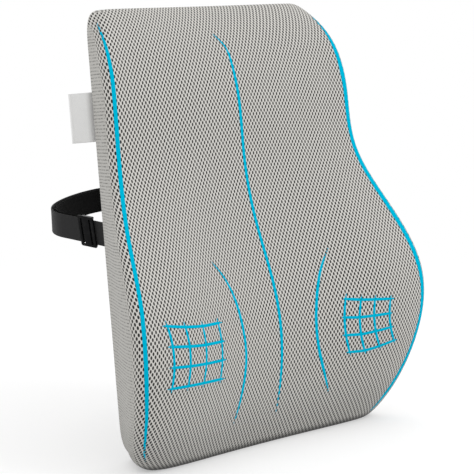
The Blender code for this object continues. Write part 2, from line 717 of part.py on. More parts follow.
def contour_lines():
    """Raised strips: two on the side edges, one on the spine, two at the waist and a lattice on each hip."""
    finish = material("line_film", "line_blue", 0.45)
    edge_rows = spread(0.430, 0.020, 40)
    for name, side in (("contour_line_edge_left", -1.0), ("contour_line_edge_right", 1.0)):
        ribbon(name, [edge_point(side, h) for h in edge_rows], EDGE_LINE_WIDTH, finish)
    spine_rows = spread(0.410, 0.030, 34)
    ribbon("contour_line_spine", [front_point(0.0, h) for h in spine_rows], SPINE_LINE_WIDTH, finish)
    waists = (
        ("contour_line_waist_left", ((0.026, -0.065), (0.094, -0.056), (0.150, -0.0635), (0.193, -0.085))),
        ("contour_line_waist_right", ((0.036, 0.074), (0.108, 0.050), (0.150, 0.058), (0.190, 0.086))),
    )
    for name, knots in waists:
        rows = spread(knots[-1][0], knots[0][0], 16)
        ribbon(name, [front_point(smooth_value(knots, h), h) for h in rows], WAIST_LINE_WIDTH, finish)
    left = ((-0.178, 0.143), (-0.100, 0.135), (-0.173, 0.082), (-0.099, 0.079))
    right = ((0.091, 0.134), (0.149, 0.127), (0.095, 0.077), (0.156, 0.081))
    hip_grid("contour_grid_left", left, 0.003, finish)
    hip_grid("contour_grid_right", right, -0.0055, finish)


def hip_grid(name, corners, bow, finish):
    """A lattice of four by four strokes laid on a wing. Corners: top left, top right, bottom left, right."""
    top_left, top_right, bottom_left, bottom_right = (Vector(c) for c in corners)
    breaks = [-GRID_OVERSHOOT]
    for stroke in range(GRID_CELLS + 1):
        middle = stroke / GRID_CELLS
        breaks += [middle - GRID_HALF_STROKE, middle + GRID_HALF_STROKE]
    breaks.append(1.0 + GRID_OVERSHOOT)
    bm = bmesh.new()
    verts = []
    for v in breaks:
        row = []
        for u in breaks:
            flat = top_left.lerp(top_right, u).lerp(bottom_left.lerp(bottom_right, u), v)
            place, normal = front_point(flat.x + bow * 4.0 * v * (1.0 - v), flat.y)
            row.append(bm.verts.new(place + normal * LINE_LIFT))
        verts.append(row)
    for j in range(len(breaks) - 1):
        for i in range(len(breaks) - 1):
            if i % 2 or j % 2:
                bm.faces.new((verts[j + 1][i], verts[j + 1][i + 1], verts[j][i + 1], verts[j][i]))
    loose = [vert for vert in bm.verts if not vert.link_faces]
    bmesh.ops.delete(bm, geom=loose, context="VERTS")
    made = add_object(name, mesh_from(bm, name, closed=False), AXES, finish)
    solidify(made, LINE_THICKNESS, 1.0)


for old in list(bpy.data.objects):
    discard(old)
PARTS = collection("lumbar_support_cushion")
CUTTERS = collection("cutters")
AXES = axis_holder("cushion_axes", None, (0.0, BASE_HALF_DEPTH, 0.0))
AXES.rotation_euler.x = -LEAN
STRAP = axis_holder("strap_axes", AXES, (0.0, 0.0, STRAP_HEIGHT))
STRAP.rotation_euler.x = STRAP_RISE
BUCKLE = axis_holder("buckle_axes", STRAP, (BUCKLE_SHIFT, 0.0, 0.0))
FORM = cushion_form()
FORM_TREE = BVHTree.FromBMesh(inset_form(0.0))

foam_core()
liner()
cover()
zipper_tapes()
zipper_chains()
zipper_slider()
zipper_stops()
strap_left()
strap_right()
strap_adjuster()
buckle_socket()
buckle_plug()
label_tag()
contour_lines()
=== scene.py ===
"""Looks of the lumbar support cushion: cover, strap with its hardware, zipper, label and contour lines.

Lengths are in metres. The cushion leans back, so its pieces are laid out in a leaning frame whose XZ
plane is the cushion's rear plane, and are turned into the frame of the CAD model when they are made.
"""

import math

import bmesh
import bpy
import numpy as np
from mathutils import Matrix, Vector
from mathutils.bvhtree import BVHTree


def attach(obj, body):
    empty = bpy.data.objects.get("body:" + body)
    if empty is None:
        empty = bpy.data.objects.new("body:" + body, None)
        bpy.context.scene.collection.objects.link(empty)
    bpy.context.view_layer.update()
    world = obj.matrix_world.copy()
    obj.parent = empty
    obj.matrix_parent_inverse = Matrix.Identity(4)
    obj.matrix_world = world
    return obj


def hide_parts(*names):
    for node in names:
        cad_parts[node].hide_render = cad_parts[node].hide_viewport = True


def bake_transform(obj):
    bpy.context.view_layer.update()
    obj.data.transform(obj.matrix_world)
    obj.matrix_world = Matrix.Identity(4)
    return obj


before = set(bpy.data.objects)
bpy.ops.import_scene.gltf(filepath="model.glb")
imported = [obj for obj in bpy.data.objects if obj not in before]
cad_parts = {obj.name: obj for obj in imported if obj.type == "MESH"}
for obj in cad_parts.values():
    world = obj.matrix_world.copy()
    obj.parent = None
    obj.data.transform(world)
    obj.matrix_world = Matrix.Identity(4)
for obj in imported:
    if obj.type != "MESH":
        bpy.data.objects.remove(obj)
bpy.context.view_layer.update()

# Shape of the cushion: the CAD part's cage, with its outer rows and lower corners drawn in a little.
LEAN = math.radians(6.0)
BASE_HALF_DEPTH = 0.028
BACK_HALF_WIDTH = 0.155
# Each row of the cage: its height, its half width, and how deep its spine, its wings and its edges are.
STATIONS = (
    (-0.004, 0.1665, 0.0505, 0.0525, 0.0425),
    (0.012, 0.1800, 0.0610, 0.0680, 0.0570),
    (0.045, 0.1950, 0.0760, 0.0910, 0.0810),
    (0.100, 0.2090, 0.0875, 0.1125, 0.1040),
    (0.160, 0.2130, 0.0820, 0.1120, 0.1100),
    (0.225, 0.1965, 0.0600, 0.0790, 0.0805),
    (0.290, 0.1710, 0.0520, 0.0525, 0.0480),
    (0.355, 0.1730, 0.0560, 0.0540, 0.0530),
    (0.408, 0.1660, 0.0420, 0.0445, 0.0450),
    (0.437, 0.1500, 0.0240, 0.0280, 0.0230),
    (0.450, 0.1410, 0.0120, 0.0170, 0.0075),
)
# Columns of the cage from the spine outwards: the share of the half width, and on the front how far
# the depth has gone from the spine's to the wings'. Column 4 is the edge.
FRONT_COLUMNS = ((0.0, 0.0), (0.36, 0.30), (0.68, 1.0), (0.90, 1.0))
BACK_COLUMNS = (0.0, 0.30, 0.62, 0.92, 1.006)
EDGE_COLUMN = 4
EDGE_SPREAD = 1.02
EDGE_PROUD = 0.003
SIDE_ROLL_DEPTH = 0.020
SIDE_ROLL_SHARE = 0.62
SIDE_ROLL_INSET = 0.001
SIDE_TUCK_DEPTH = 0.016
SIDE_TUCK_SHARE = 0.30
SIDE_TUCK_SPREAD = 0.005
FULL_SIDE_DEPTH = 0.050
# Layers of the cage behind the front: how far each has gone towards the rear.
LAYER_SHARES = (0.0, 0.38, 0.70)
REAR_CORNER_SPREAD = 0.004
REAR_CORNER_SINK = 0.001
BASE_FADE_HEIGHT = 0.12
BASE_CORNER_CUT = 0.026
LEFT_BASE_CUT = 0.016
ROWS = len(STATIONS) - 1
CELL_STEPS = 16
INSIDE_STEPS = 4
LINER_INSET = 0.0052
FOAM_INSET = 0.0078

# Back opening and zipper, as in the CAD part.
OPENING_HALF_WIDTH = 0.145
OPENING_BOTTOM = 0.017
OPENING_TOP = 0.430
OPENING_RADIUS = 0.012
OPENING_SINK = 0.0006
# The cover's rim rolls into the opening: steps inwards and steps into the cushion.
LIP_ROLL = ((0.0003, 0.0003), (0.0004, 0.0012), (0.0001, 0.0024), (-0.0006, 0.0034))
PANEL_GAP = 0.0006
PANEL_COLUMNS = 110
PANEL_ROW_PITCH = 0.003
PANEL_MIN_ROWS = 18
PANEL_CROWDING = math.pi / 2.0 * 0.86
PANEL_UNDER_STITCHES = 0.002
PANEL_ROLL = 0.0055
PANEL_DROP = 0.0024
PANEL_CROWN = 0.0005
PANEL_CROWN_REACH = 0.03
PANEL_THICKNESS = 0.0009
ZIP_HEIGHT = 0.070
ZIP_HALF_SLOT = 0.0125
CHAIN_HALF_LENGTH = 0.128
TAPE_GAP = 0.0008
TAPE_HALF_THICKNESS = 0.00045
TAPE_SINK = 0.0015
TAPE_RINGS = 150
TOOTH_PITCH = 0.0020
TOOTH_HALF_WIDTH = 0.00052
TOOTH_HALF_DEPTH = 0.0009
TOOTH_RISE = 0.00015
TOOTH_OVERLAP = 0.0006
# A tooth along its length: how far from its tip, and its girth there.
TOOTH_RINGS = ((0.00, 0.6), (0.0004, 1.0), (0.0026, 1.0), (0.0031, 0.75), (0.0033, 0.3))

# Strap, seen from above. It leans more than its solid, and its adjuster sits closer to the seam.
WEB_WIDTH = 0.025
WEB_THICKNESS = 0.0013
WEB_SPACING = 0.0015
STRAP_HEIGHT = 0.227
STRAP_RISE = math.radians(12.0)
STRAP_SPLAY = math.radians(13.0)
STRAP_START = np.array([-0.147, 0.0030])
STRAP_TAIL = ((-0.1444, -0.0026), (-0.1449, -0.0008), (-0.1460, 0.0012))
STRAIGHT_RUN = 0.052
LOOP_BOW = 0.134
LOOP_SOFTNESS = (0.043, 0.030)
LAYER_PITCH = 0.0050
FOLD_RADIUS = 0.0016
FOLD_STUB = 0.016
BUCKLE_BAR_X = 0.0335
BUCKLE_SHIFT = 0.014
STRAP_TILT = math.tan(math.radians(7.5))
TILT_START = 0.06
# Places where the webbing starts and ends: the left strap's return by its distance from the seam, the right
# strap by its places in the strap's plane. Points are worked out from them and not used.
RETURN_BLEND = (0.056, 0.036)
RIGHT_BLEND = ((0.150, 0.010), (0.062, 0.130))
AWAY = np.array([-math.sin(STRAP_SPLAY), math.cos(STRAP_SPLAY)])
OUTSIDE = np.array([AWAY[1], -AWAY[0]])

# Adjuster: a frame outside the webbing, a bar inside it and a rail at each end.
ADJUSTER_AT = 0.0205
ADJUSTER_SKEW = 0.16
ADJUSTER_HALF_WIDTH = 0.0093
ADJUSTER_HALF_HEIGHT = 0.0155
SLOT_INSIDE = 0.0039
SLOT_OUTSIDE = 0.0062
SLOT_HALF_HEIGHT = 0.0128
BAR_HALF_WIDTH = 0.0016
BAR_SHORTER = 0.0004
RAIL_FROM = 0.0131
RAIL_SHORTER = 0.0003

# Spacer mesh: holes in staggered rows.
HOLE_PITCH = 0.00476
ROW_PITCH = 0.00335
HOLE_HALF_WIDTH = 0.00126
HOLE_HALF_HEIGHT = 0.00205
HOLE_DEPTH = 0.0007
MIDDLE_ROW = 4.6
CORNER_ROW = 8.0
CORNER_COLUMNS = 3
CORNER_DRIFT = 0.3
PLAIN_COLUMN = 4.4
# Side band: the column and the rows where it starts, in cells of the cage.
BAND_START = 4.50
BAND_SOFTNESS = 0.16
BAND_BEND_ROW = 7.2
BAND_BEND = 0.55
BAND_TOP_ROW = 9.1
BAND_TOP_SOFTNESS = 0.3

# Label: its path seen from above, from inside the seam to where it is free.
LABEL_TAIL = (
    (-0.1445, -0.0022), (-0.1452, -0.0004), (-0.1470, 0.0011), (-0.1510, 0.0013), (-0.1548, 0.0018))
LABEL_CORNER = np.array([-0.1562, 0.0022])
LABEL_TURN = math.radians(-35.0)
LABEL_REACH = 0.0188
LABEL_CURL = 0.0006
LABEL_BOTTOM = 0.3205
LABEL_TOP = 0.3695
LABEL_SPACING = 0.0008
LABEL_WAVE = 0.00025

# Contour film: its section (share of the half width, height over the skin, how well it covers), and
# the lengths over which its lines grow and shrink.
FILM_SECTION = (
    (-1.0, 0.00012, 0.40), (-0.72, 0.0003, 0.78), (-0.36, 0.0003, 1.0), (0.0, 0.0003, 1.0),
    (0.36, 0.0003, 1.0), (0.72, 0.0003, 0.78), (1.0, 0.00012, 0.40), (1.0, -0.0002, 0.40),
    (-1.0, -0.0002, 0.40),
)
FILM_SPACING = 0.0022
LINE_END_SHARE = 0.30
LATTICE_END_SHARE = 0.25
LATTICE_END = 0.012
EDGE_TOP_ROW = 9.1
EDGE_BEND_ROW = 7.2
HIP_ROW = 4.3
HIP_REACH = 0.8
SPINE_HOOK = 26.0
SPINE_HOOK_HEIGHT = 0.398
KNOT_STEPS = 8

# Thread stitches.
STITCH_PITCH = 0.0036
STITCH_LENGTH = 0.0028
THREAD_RADIUS = 0.00028
STITCH_MARGIN = 0.0026
ZIP_STITCH_MARGIN = 0.0022
ZIP_STITCH_REACH = 0.140

# Colours of the mesh cover, the foam, the film, the plastic and the metal.
COVER_THREAD = (0.53, 0.519, 0.490)
BACK_THREAD = (0.48, 0.47, 0.445)
# Painted shade: the holes' walls and floors are darker than the thread for the shade inside them.
HOLE_WALL_IN_SHADE = (0.12, 0.117, 0.111)
HOLE_FLOOR_IN_SHADE = (0.020, 0.0195, 0.019)
# Painted shade: the cover's colour fades to this black near the floor, for its contact shadow.
BLACK = (0.0, 0.0, 0.0)
FOAM_COLOURS = ((0.72, 0.66, 0.50), (0.92, 0.88, 0.76))
# Painted shade: the film's second, darker blue is laid where the mesh's holes lie under it, for their shade
# showing through, and in its random speckle.
FILM_COLOURS = ((0.0, 0.42, 0.61), (0.0, 0.32, 0.48))
PLASTIC_BLACK = (0.004, 0.004, 0.0045)
COIL_BLACK = (0.030, 0.030, 0.030)
ZIP_METAL = (0.50, 0.50, 0.51)
# Woven materials: dark colour, light colour, thread pitches along and across, roughness, height of
# the weave, sheen and specular level.
WEAVES = {
    "liner_knit": ((0.66, 0.66, 0.65), (0.84, 0.84, 0.83), 0.0012, 0.0012, 0.90, 0.0002, 0.2, 0.3),
    "zip_tape": ((0.10, 0.10, 0.10), (0.22, 0.22, 0.215), 0.0009, 0.0018, 0.85, 0.0002, 0.2, 0.3),
    "webbing_black": (
        (0.0045, 0.0045, 0.0048), (0.018, 0.018, 0.0185), 0.0016, 0.0011, 0.75, 0.00025, 0.06, 0.3),
    # The return layer's webbing: the black webbing with painted shade, darker and with less sheen and
    # specular, for its shaded inner face.
    "webbing_shaded": (
        (0.0006, 0.0006, 0.0007), (0.0035, 0.0035, 0.0036), 0.0016, 0.0011, 0.85, 0.00025, 0.0, 0.1),
    "label_satin": ((0.70, 0.70, 0.695), (0.90, 0.90, 0.895), 0.0005, 0.0004, 0.65, 0.00004, 0.4, 0.3),
    "thread_grey": ((0.36, 0.35, 0.34), (0.55, 0.54, 0.52), 0.0003, 0.0006, 0.70, 0.0001, 0.2, 0.3),
}

# Camera: the direction it looks in, the point it looks at, its distance and its lens.
VIEW_TURN = math.radians(45.53)
VIEW_DROP = math.radians(8.34)
VIEW_ROLL = math.radians(-0.21)
VIEW_AIM = (-0.0038, 0.0116, 0.2127)
VIEW_DISTANCE = 2.0135
LENS = 148.0
SENSOR_WIDTH = 36.0

# Floor and lights. Each light has a name, a place, a width and a power.
FLOOR_SIZE = 9.0
FLOOR_DROP = 0.0003
FLOOR_SHADE = (0.68, 0.68, 0.68)
FLOOR_SEEN = (0.96, 0.96, 0.96)
LIGHT_AIM = (0.0, 0.0, 0.2)
LIGHTS = (
    ("key", (0.7, -2.2, 2.0), 1.4, 22.0),
    ("fill", (-2.2, 0.4, 1.4), 1.8, 3.0),
    ("top", (0.0, 0.2, 2.6), 2.0, 6.0),
)


# ---------------------------------------------------------------- frames and mesh helpers


def leaning_to_world(points):
    """Points of the leaning frame, in the CAD model's frame."""
    x, y, z = np.asarray(points, float).reshape(-1, 3).T
    c, s = math.cos(LEAN), math.sin(LEAN)
    return np.stack([x, BASE_HALF_DEPTH + c * y + s * z, -s * y + c * z], axis=1)


def strap_to_world(points):
    """Points of the strap's tilted plane, in the CAD model's frame."""
    x, y, z = np.asarray(points, float).reshape(-1, 3).T
    c, s = math.cos(STRAP_RISE), math.sin(STRAP_RISE)
    return leaning_to_world(np.stack([x, c * y - s * z, STRAP_HEIGHT + s * y + c * z], axis=1))


def linked(name, data):
    """A new object in the scene."""
    made = bpy.data.objects.new(name, data)
    bpy.context.scene.collection.objects.link(made)
    return made


def evaluated(obj):
    bpy.context.view_layer.update()
    return obj.evaluated_get(bpy.context.evaluated_depsgraph_get())


def new_object(name, points, faces, finish, uvs=None):
    """A mesh object from points in the CAD model's frame. uvs holds one pair per face corner."""
    data = bpy.data.meshes.new(name)
    data.from_pydata([tuple(p) for p in points], [], [tuple(int(i) for i in f) for f in faces])
    if uvs is not None:
        layer = data.uv_layers.new(name="cloth")
        layer.data.foreach_set("uv", np.asarray(uvs, np.float32).ravel())
    data.polygons.foreach_set("use_smooth", [True] * len(data.polygons))
    data.materials.append(finish)
    data.update()
    return linked(name, data)


def belongs(piece, slot, *nodes, body="cushion"):
    """Attaches a piece to the body it rides on and hides the CAD nodes it stands for. Its slot is not used.
    """
    if body:
        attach(piece, body)
    if nodes:
        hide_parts(*nodes)


def set_point_values(piece, name, values):
    layer = piece.data.attributes.new(name, "FLOAT", "POINT")
    layer.data.foreach_set("value", np.array(values, np.float32))


def fix_normals(piece):
    """Turns all faces of a closed piece outwards."""
    bm = bmesh.new()
    bm.from_mesh(piece.data)
    bmesh.ops.recalc_face_normals(bm, faces=bm.faces)
    if bm.calc_volume(signed=True) < 0.0:
        bmesh.ops.reverse_faces(bm, faces=bm.faces)
    bm.to_mesh(piece.data)
    bm.free()


def grid_faces(rows, columns, first=0, closed=False):
    """Quads of a grid of points, counter-clockwise for columns to the right and rows upwards."""
    faces = []
    span = columns if closed else columns - 1
    for j in range(rows - 1):
        for i in range(span):
            a = first + j * columns + i
            b = first + j * columns + (i + 1) % columns
            faces.append((a, b, b + columns, a + columns))
    return faces


def tube_faces(rings, around, first=0):
    """Faces of a tube made of rings of points, with a cap at each end."""
    end = first + (rings - 1) * around
    caps = [tuple(range(first + around - 1, first - 1, -1)), tuple(range(end, end + around))]
    return grid_faces(rings, around, first, closed=True) + caps


def tube_uvs(along, round_it):
    """Cloth coordinates of a tube's face corners, from its places along it and its places round it."""
    uvs = []
    for a, b in zip(along[:-1], along[1:]):
        for u, v in zip(round_it[:-1], round_it[1:]):
            uvs += [(a, u), (a, v), (b, v), (b, u)]
    return uvs + [(0.0, 0.0)] * (2 * (len(round_it) - 1))


def girth_places(outline):
    """Distances round a closed outline, from its first point back to it."""
    closed = np.array(list(outline) + [outline[0]])
    return np.concatenate([[0.0], np.cumsum(np.linalg.norm(np.diff(closed, axis=0), axis=1))])


def cell_corners(grid):
    """The values of a grid at the four corners of each of its cells."""
    return np.stack([grid[:-1, :-1], grid[:-1, 1:], grid[1:, 1:], grid[1:, :-1]], axis=2)


def unit_steps(path):
    """Unit vectors along a path, one at each of its points."""
    along = np.gradient(path, axis=0)
    return along / np.linalg.norm(along, axis=1)[:, None]


def to_the_right(ways):
    return np.stack([ways[:, 1], -ways[:, 0]], axis=1)


def smooth_path(path, spacing):
    """The path resampled evenly at about the given spacing, and the places of its points along it."""
    path = np.asarray(path, float)
    steps = np.linalg.norm(np.diff(path, axis=0), axis=1)
    at = np.concatenate([[0.0], np.cumsum(steps)])
    count = max(2, int(at[-1] / spacing) + 1)
    places = np.linspace(0.0, at[-1], count)
    return np.stack([np.interp(places, at, path[:, k]) for k in range(path.shape[1])], axis=1), places


def modifier(obj, kind, **settings):
    made = obj.modifiers.new(kind.lower(), kind)
    for key, value in settings.items():
        setattr(made, key, value)


# ---------------------------------------------------------------- materials


class Nodes:
    """Short calls for building a material's node tree."""

    def __init__(self, tree):
        self.tree = tree

    def add(self, kind, **settings):
        node = self.tree.nodes.new(kind)
        for key, value in settings.items():
            setattr(node, key, value)
        return node

    def link(self, value, socket):
        if hasattr(value, "is_output"):
            self.tree.links.new(value, socket)
        else:
            socket.default_value = value

    def fill(self, node, values):
        """Links or sets the node's inputs, in their order."""
        for value, socket in zip(values, node.inputs):
            self.link(value, socket)

    def math(self, operation, *values, clamp=False):
        node = self.add("ShaderNodeMath", operation=operation, use_clamp=clamp)
        self.fill(node, values)
        return node.outputs[0]

    def plus(self, a, b, clamp=False):
        return self.math("ADD", a, b, clamp=clamp)

    def minus(self, a, b):
        return self.math("SUBTRACT", a, b)

    def times(self, a, b):
        return self.math("MULTIPLY", a, b)

    def over(self, a, b):
        return self.math("DIVIDE", a, b)

    def wave(self, value, pitch):
        return self.math("SINE", self.times(value, 2.0 * math.pi / pitch))

    def vector(self, operation, *values):
        node = self.add("ShaderNodeVectorMath", operation=operation)
        self.fill(node, values)
        return node.outputs["Value" if operation in ("DOT_PRODUCT", "LENGTH") else "Vector"]

    def ramp(self, value, low, high, to_low=0.0, to_high=1.0):
        node = self.add("ShaderNodeMapRange", interpolation_type="SMOOTHSTEP")
        self.fill(node, (value, low, high, to_low, to_high))
        return node.outputs[0]

    def mix(self, factor, a, b):
        node = self.add("ShaderNodeMix", data_type="RGBA")
        self.link(factor, node.inputs["Factor"])
        for value, socket in ((a, node.inputs[6]), (b, node.inputs[7])):
            self.link(value if hasattr(value, "is_output") else (*value, 1.0), socket)
        return node.outputs[2]

    def noise(self, scale, detail, coordinates):
        node = self.add("ShaderNodeTexNoise")
        node.inputs["Scale"].default_value = scale
        node.inputs["Detail"].default_value = detail
        self.link(coordinates, node.inputs["Vector"])
        return node.outputs[0]

    def position(self):
        return self.add("ShaderNodeTexCoord").outputs["Object"]

    def attribute(self, name):
        return self.add("ShaderNodeAttribute", attribute_name=name).outputs["Fac"]

    def split(self, value):
        """The parts of a vector along X, Y and Z."""
        parts = self.add("ShaderNodeSeparateXYZ")
        self.link(value, parts.inputs[0])
        return parts.outputs[0], parts.outputs[1], parts.outputs[2]

    def cloth(self):
        """The two cloth coordinates, in metres."""
        return self.split(self.add("ShaderNodeUVMap", uv_map="cloth").outputs[0])[:2]

    def bump(self, height, distance, strength):
        node = self.add("ShaderNodeBump")
        node.inputs["Strength"].default_value = strength
        node.inputs["Distance"].default_value = distance
        self.link(height, node.inputs["Height"])
        return node.outputs[0]


def new_material(name, roughness, metallic=0.0, specular=0.5, sheen=0.0):
    """A new material, its principled shader and the calls that build on its node tree."""
    made = bpy.data.materials.new(name)
    made.use_nodes = True
    shader = made.node_tree.nodes["Principled BSDF"]
    shader.inputs["Roughness"].default_value = roughness
    shader.inputs["Metallic"].default_value = metallic
    shader.inputs["Specular IOR Level"].default_value = specular
    shader.inputs["Sheen Weight"].default_value = sheen
    return made, shader, Nodes(made.node_tree)


def hole_mask(n, u, v):
    """1 inside a hole of the spacer mesh and 0 on its threads, for cloth coordinates in metres."""
    reaches = []
    for shift in (0.0, 0.5):
        across = n.minus(n.math("FRACT", n.plus(n.over(u, HOLE_PITCH), shift)), 0.5)
        up = n.minus(n.math("FRACT", n.plus(n.over(v, 2.0 * ROW_PITCH), shift)), 0.5)
        du = n.times(across, HOLE_PITCH / HOLE_HALF_WIDTH)
        dv = n.times(up, 2.0 * ROW_PITCH / HOLE_HALF_HEIGHT)
        reaches.append(n.plus(n.times(du, du), n.times(dv, dv)))
    return n.ramp(n.math("MINIMUM", *reaches), 0.55, 1.10, 1.0, 0.0)


def hole_floor_mask(n, u, v):
    """hole_mask at the floor of the holes, which slides under them with the direction of view. The holes'
    painted shade is darkest there.
    """
    geometry = n.add("ShaderNodeNewGeometry")
    tangent = n.add("ShaderNodeTangent", direction_type="UV_MAP", uv_map="cloth").outputs[0]
    normal = geometry.outputs["Normal"]
    towards = geometry.outputs["Incoming"]
    upwards = n.vector("CROSS_PRODUCT", normal, tangent)
    facing = n.math("MAXIMUM", n.vector("DOT_PRODUCT", towards, normal), 0.12)
    moved = []
    for value, direction in ((u, tangent), (v, upwards)):
        lean = n.over(n.vector("DOT_PRODUCT", towards, direction), facing)
        moved.append(n.minus(value, n.times(lean, HOLE_DEPTH)))
    return hole_mask(n, *moved)


def spacer_mesh(name, thread):
    """Knitted spacer mesh: pale threads round holes painted dark for the shade in them. On the side band it
    is a plain knit.
    """
    made, shader, n = new_material(name, 0.85, specular=0.2, sheen=0.08)
    u, v = n.cloth()
    band = n.attribute("side_band")
    hole = n.times(hole_mask(n, u, v), n.minus(1.0, band))
    # Painted shade in the holes: their walls are painted dark grey, and the part of their floors in view
    # darker still.
    dark = n.times(hole, hole_floor_mask(n, u, v))
    place = n.position()
    patchy = n.noise(26.0, 3.0, place)
    fibre = n.noise(2600.0, 2.0, place)
    tone = n.plus(n.times(patchy, 0.10), n.times(fibre, 0.22))
    pale = n.mix(tone, tuple(min(1.0, c * 1.10) for c in thread), tuple(c * 0.72 for c in thread))
    # The side band's knit: short dark dashes in rows.
    spot = n.add("ShaderNodeCombineXYZ")
    n.fill(spot, (n.over(u, HOLE_PITCH), n.over(v, ROW_PITCH * 0.5)))
    break_up = n.noise(1.3, 2.0, spot.outputs[0])
    dash = n.times(n.ramp(n.wave(v, ROW_PITCH), -0.1, 0.9), n.ramp(break_up, 0.36, 0.62))
    plain = n.mix(n.times(dash, 0.9), tuple(c * 0.82 for c in thread), tuple(c * 0.24 for c in thread))
    ground = n.mix(band, n.mix(hole, pale, HOLE_WALL_IN_SHADE), plain)
    # Painted shade: the cover's colour darkens towards the floor, most of all over its lowest centimetre, for
    # its contact shadow.
    above_floor = n.split(place)[2]
    lit = n.times(n.ramp(above_floor, 0.001, 0.010, 0.22, 1.0), n.ramp(above_floor, 0.0, 0.070, 0.85, 1.0))
    n.link(n.mix(lit, BLACK, n.mix(dark, ground, HOLE_FLOOR_IN_SHADE)), shader.inputs["Base Color"])
    stitch = n.times(n.wave(v, ROW_PITCH / 4.0), 0.12)
    height = n.plus(n.minus(1.0, hole), n.plus(stitch, n.times(fibre, 0.3)))
    height = n.minus(height, n.times(n.times(dash, band), 0.35))
    n.link(n.bump(height, 0.0005, 0.35), shader.inputs["Normal"])
    n.link(n.ramp(fibre, 0.3, 0.7, 0.78, 0.92), shader.inputs["Roughness"])
    return made


def woven(name):
    """Plain weave of threads at two pitches, with fine fuzz."""
    dark, light, pitch_along, pitch_across, roughness, lift, sheen, specular = WEAVES[name]
    made, shader, n = new_material(name, roughness, specular=specular, sheen=sheen)
    u, v = n.cloth()
    weave = n.times(n.wave(u, pitch_along), n.wave(v, pitch_across))
    place = n.position()
    fuzz = n.noise(1800.0, 3.0, place)
    patch = n.noise(30.0, 2.0, place)
    level = n.plus(n.times(weave, 0.30), n.times(fuzz, 0.5))
    level = n.plus(level, n.times(patch, 0.4), clamp=True)
    n.link(n.mix(level, dark, light), shader.inputs["Base Color"])
    height = n.plus(n.times(weave, 0.5), n.times(fuzz, 0.4))
    n.link(n.bump(height, lift, 0.6), shader.inputs["Normal"])
    rough = n.ramp(fuzz, 0.3, 0.7, roughness - 0.08, min(1.0, roughness + 0.08))
    n.link(rough, shader.inputs["Roughness"])
    return made


def moulded(name, colour, roughness):
    """Moulded plastic: smooth, with faint mould texture and scuffs."""
    made, shader, n = new_material(name, roughness, specular=0.08)
    place = n.position()
    grain = n.noise(1500.0, 2.0, place)
    scuff = n.noise(120.0, 4.0, place)
    scuffed = tuple(c * 1.6 + 0.004 for c in colour)
    n.link(n.mix(n.ramp(scuff, 0.45, 0.75), colour, scuffed), shader.inputs["Base Color"])
    n.link(n.ramp(scuff, 0.35, 0.75, roughness, roughness + 0.15), shader.inputs["Roughness"])
    n.link(n.bump(grain, 0.00005, 0.35), shader.inputs["Normal"])
    return made


def plated(name, colour, roughness):
    """Plated metal with worn patches."""
    made, shader, n = new_material(name, roughness, metallic=1.0)
    wear = n.noise(300.0, 3.0, n.position())
    worn = tuple(c * 0.7 for c in colour)
    n.link(n.mix(n.ramp(wear, 0.4, 0.7), colour, worn), shader.inputs["Base Color"])
    n.link(n.ramp(wear, 0.35, 0.7, roughness - 0.06, roughness + 0.14), shader.inputs["Roughness"])
    n.link(n.bump(wear, 0.00004, 0.4), shader.inputs["Normal"])
    return made


def foam_finish(name):
    made, shader, n = new_material(name, 0.95)
    cells = n.noise(900.0, 4.0, n.position())
    n.link(n.mix(cells, *FOAM_COLOURS), shader.inputs["Base Color"])
    n.link(n.bump(cells, 0.0004, 0.6), shader.inputs["Normal"])
    return made


def film_finish(name):
    """Blue contour film. The mesh's holes bite into its edges, and it fades out at its ends."""
    made, shader, n = new_material(name, 0.5, specular=0.0)
    holes = hole_mask(n, *n.cloth())
    cover = n.attribute("film_cover")
    speckle = n.noise(1400.0, 2.0, n.position())
    # Painted shade: the film is darker over the mesh's holes, for their shade showing through; the speckle is
    # random tone.
    hole_shade_and_speckle = n.plus(n.times(holes, 0.35), n.times(speckle, 0.25))
    n.link(n.mix(hole_shade_and_speckle, *FILM_COLOURS), shader.inputs["Base Color"])
    bite = n.plus(n.times(holes, 0.42), n.times(speckle, 0.12))
    n.link(n.ramp(n.minus(cover, bite), -0.04, 0.34), shader.inputs["Alpha"])
    n.link(n.bump(n.minus(1.0, holes), 0.0004, 0.3), shader.inputs["Normal"])
    return made


# ---------------------------------------------------------------- cushion surface


def cage_point(column, layer, row):
    """Where one vertex of the cushion's cage sits, in the leaning frame."""
    height, half_width, spine, wing, edge = STATIONS[row]
    if row == 0 and column < 0:
        half_width -= LEFT_BASE_CUT
    rear_half = min(BACK_HALF_WIDTH, half_width + REAR_CORNER_SPREAD)
    if row == 0:
        rear_half -= BASE_CORNER_CUT
    index = abs(column)
    at_edge = index == EDGE_COLUMN
    if at_edge:
        front = Vector((EDGE_SPREAD * half_width, -(edge + EDGE_PROUD)))
    else:
        share, towards_wing = FRONT_COLUMNS[index]
        front = Vector((share * half_width, -(spine + towards_wing * (wing - spine))))
    rear = Vector((BACK_COLUMNS[index] * rear_half, -REAR_CORNER_SINK if at_edge else 0.0))
    if layer == 3:
        flat = rear
    elif layer == 1 and at_edge:
        flat = Vector((front.x - SIDE_ROLL_INSET, min(front.y + SIDE_ROLL_DEPTH, front.y * SIDE_ROLL_SHARE)))
    elif layer == 2 and at_edge:
        spread = SIDE_TUCK_SPREAD * min(1.0, edge / FULL_SIDE_DEPTH)
        flat = Vector((rear.x + spread, max(-SIDE_TUCK_DEPTH, front.y * SIDE_TUCK_SHARE)))
    else:
        flat = front.lerp(rear, LAYER_SHARES[layer])
    fade = max(0.0, 1.0 - max(height, 0.0) / BASE_FADE_HEIGHT) ** 2
    side = 1.0 if column > 0 else -1.0
    return Vector((side * flat.x, flat.y, height + flat.y * math.tan(LEAN) * fade))


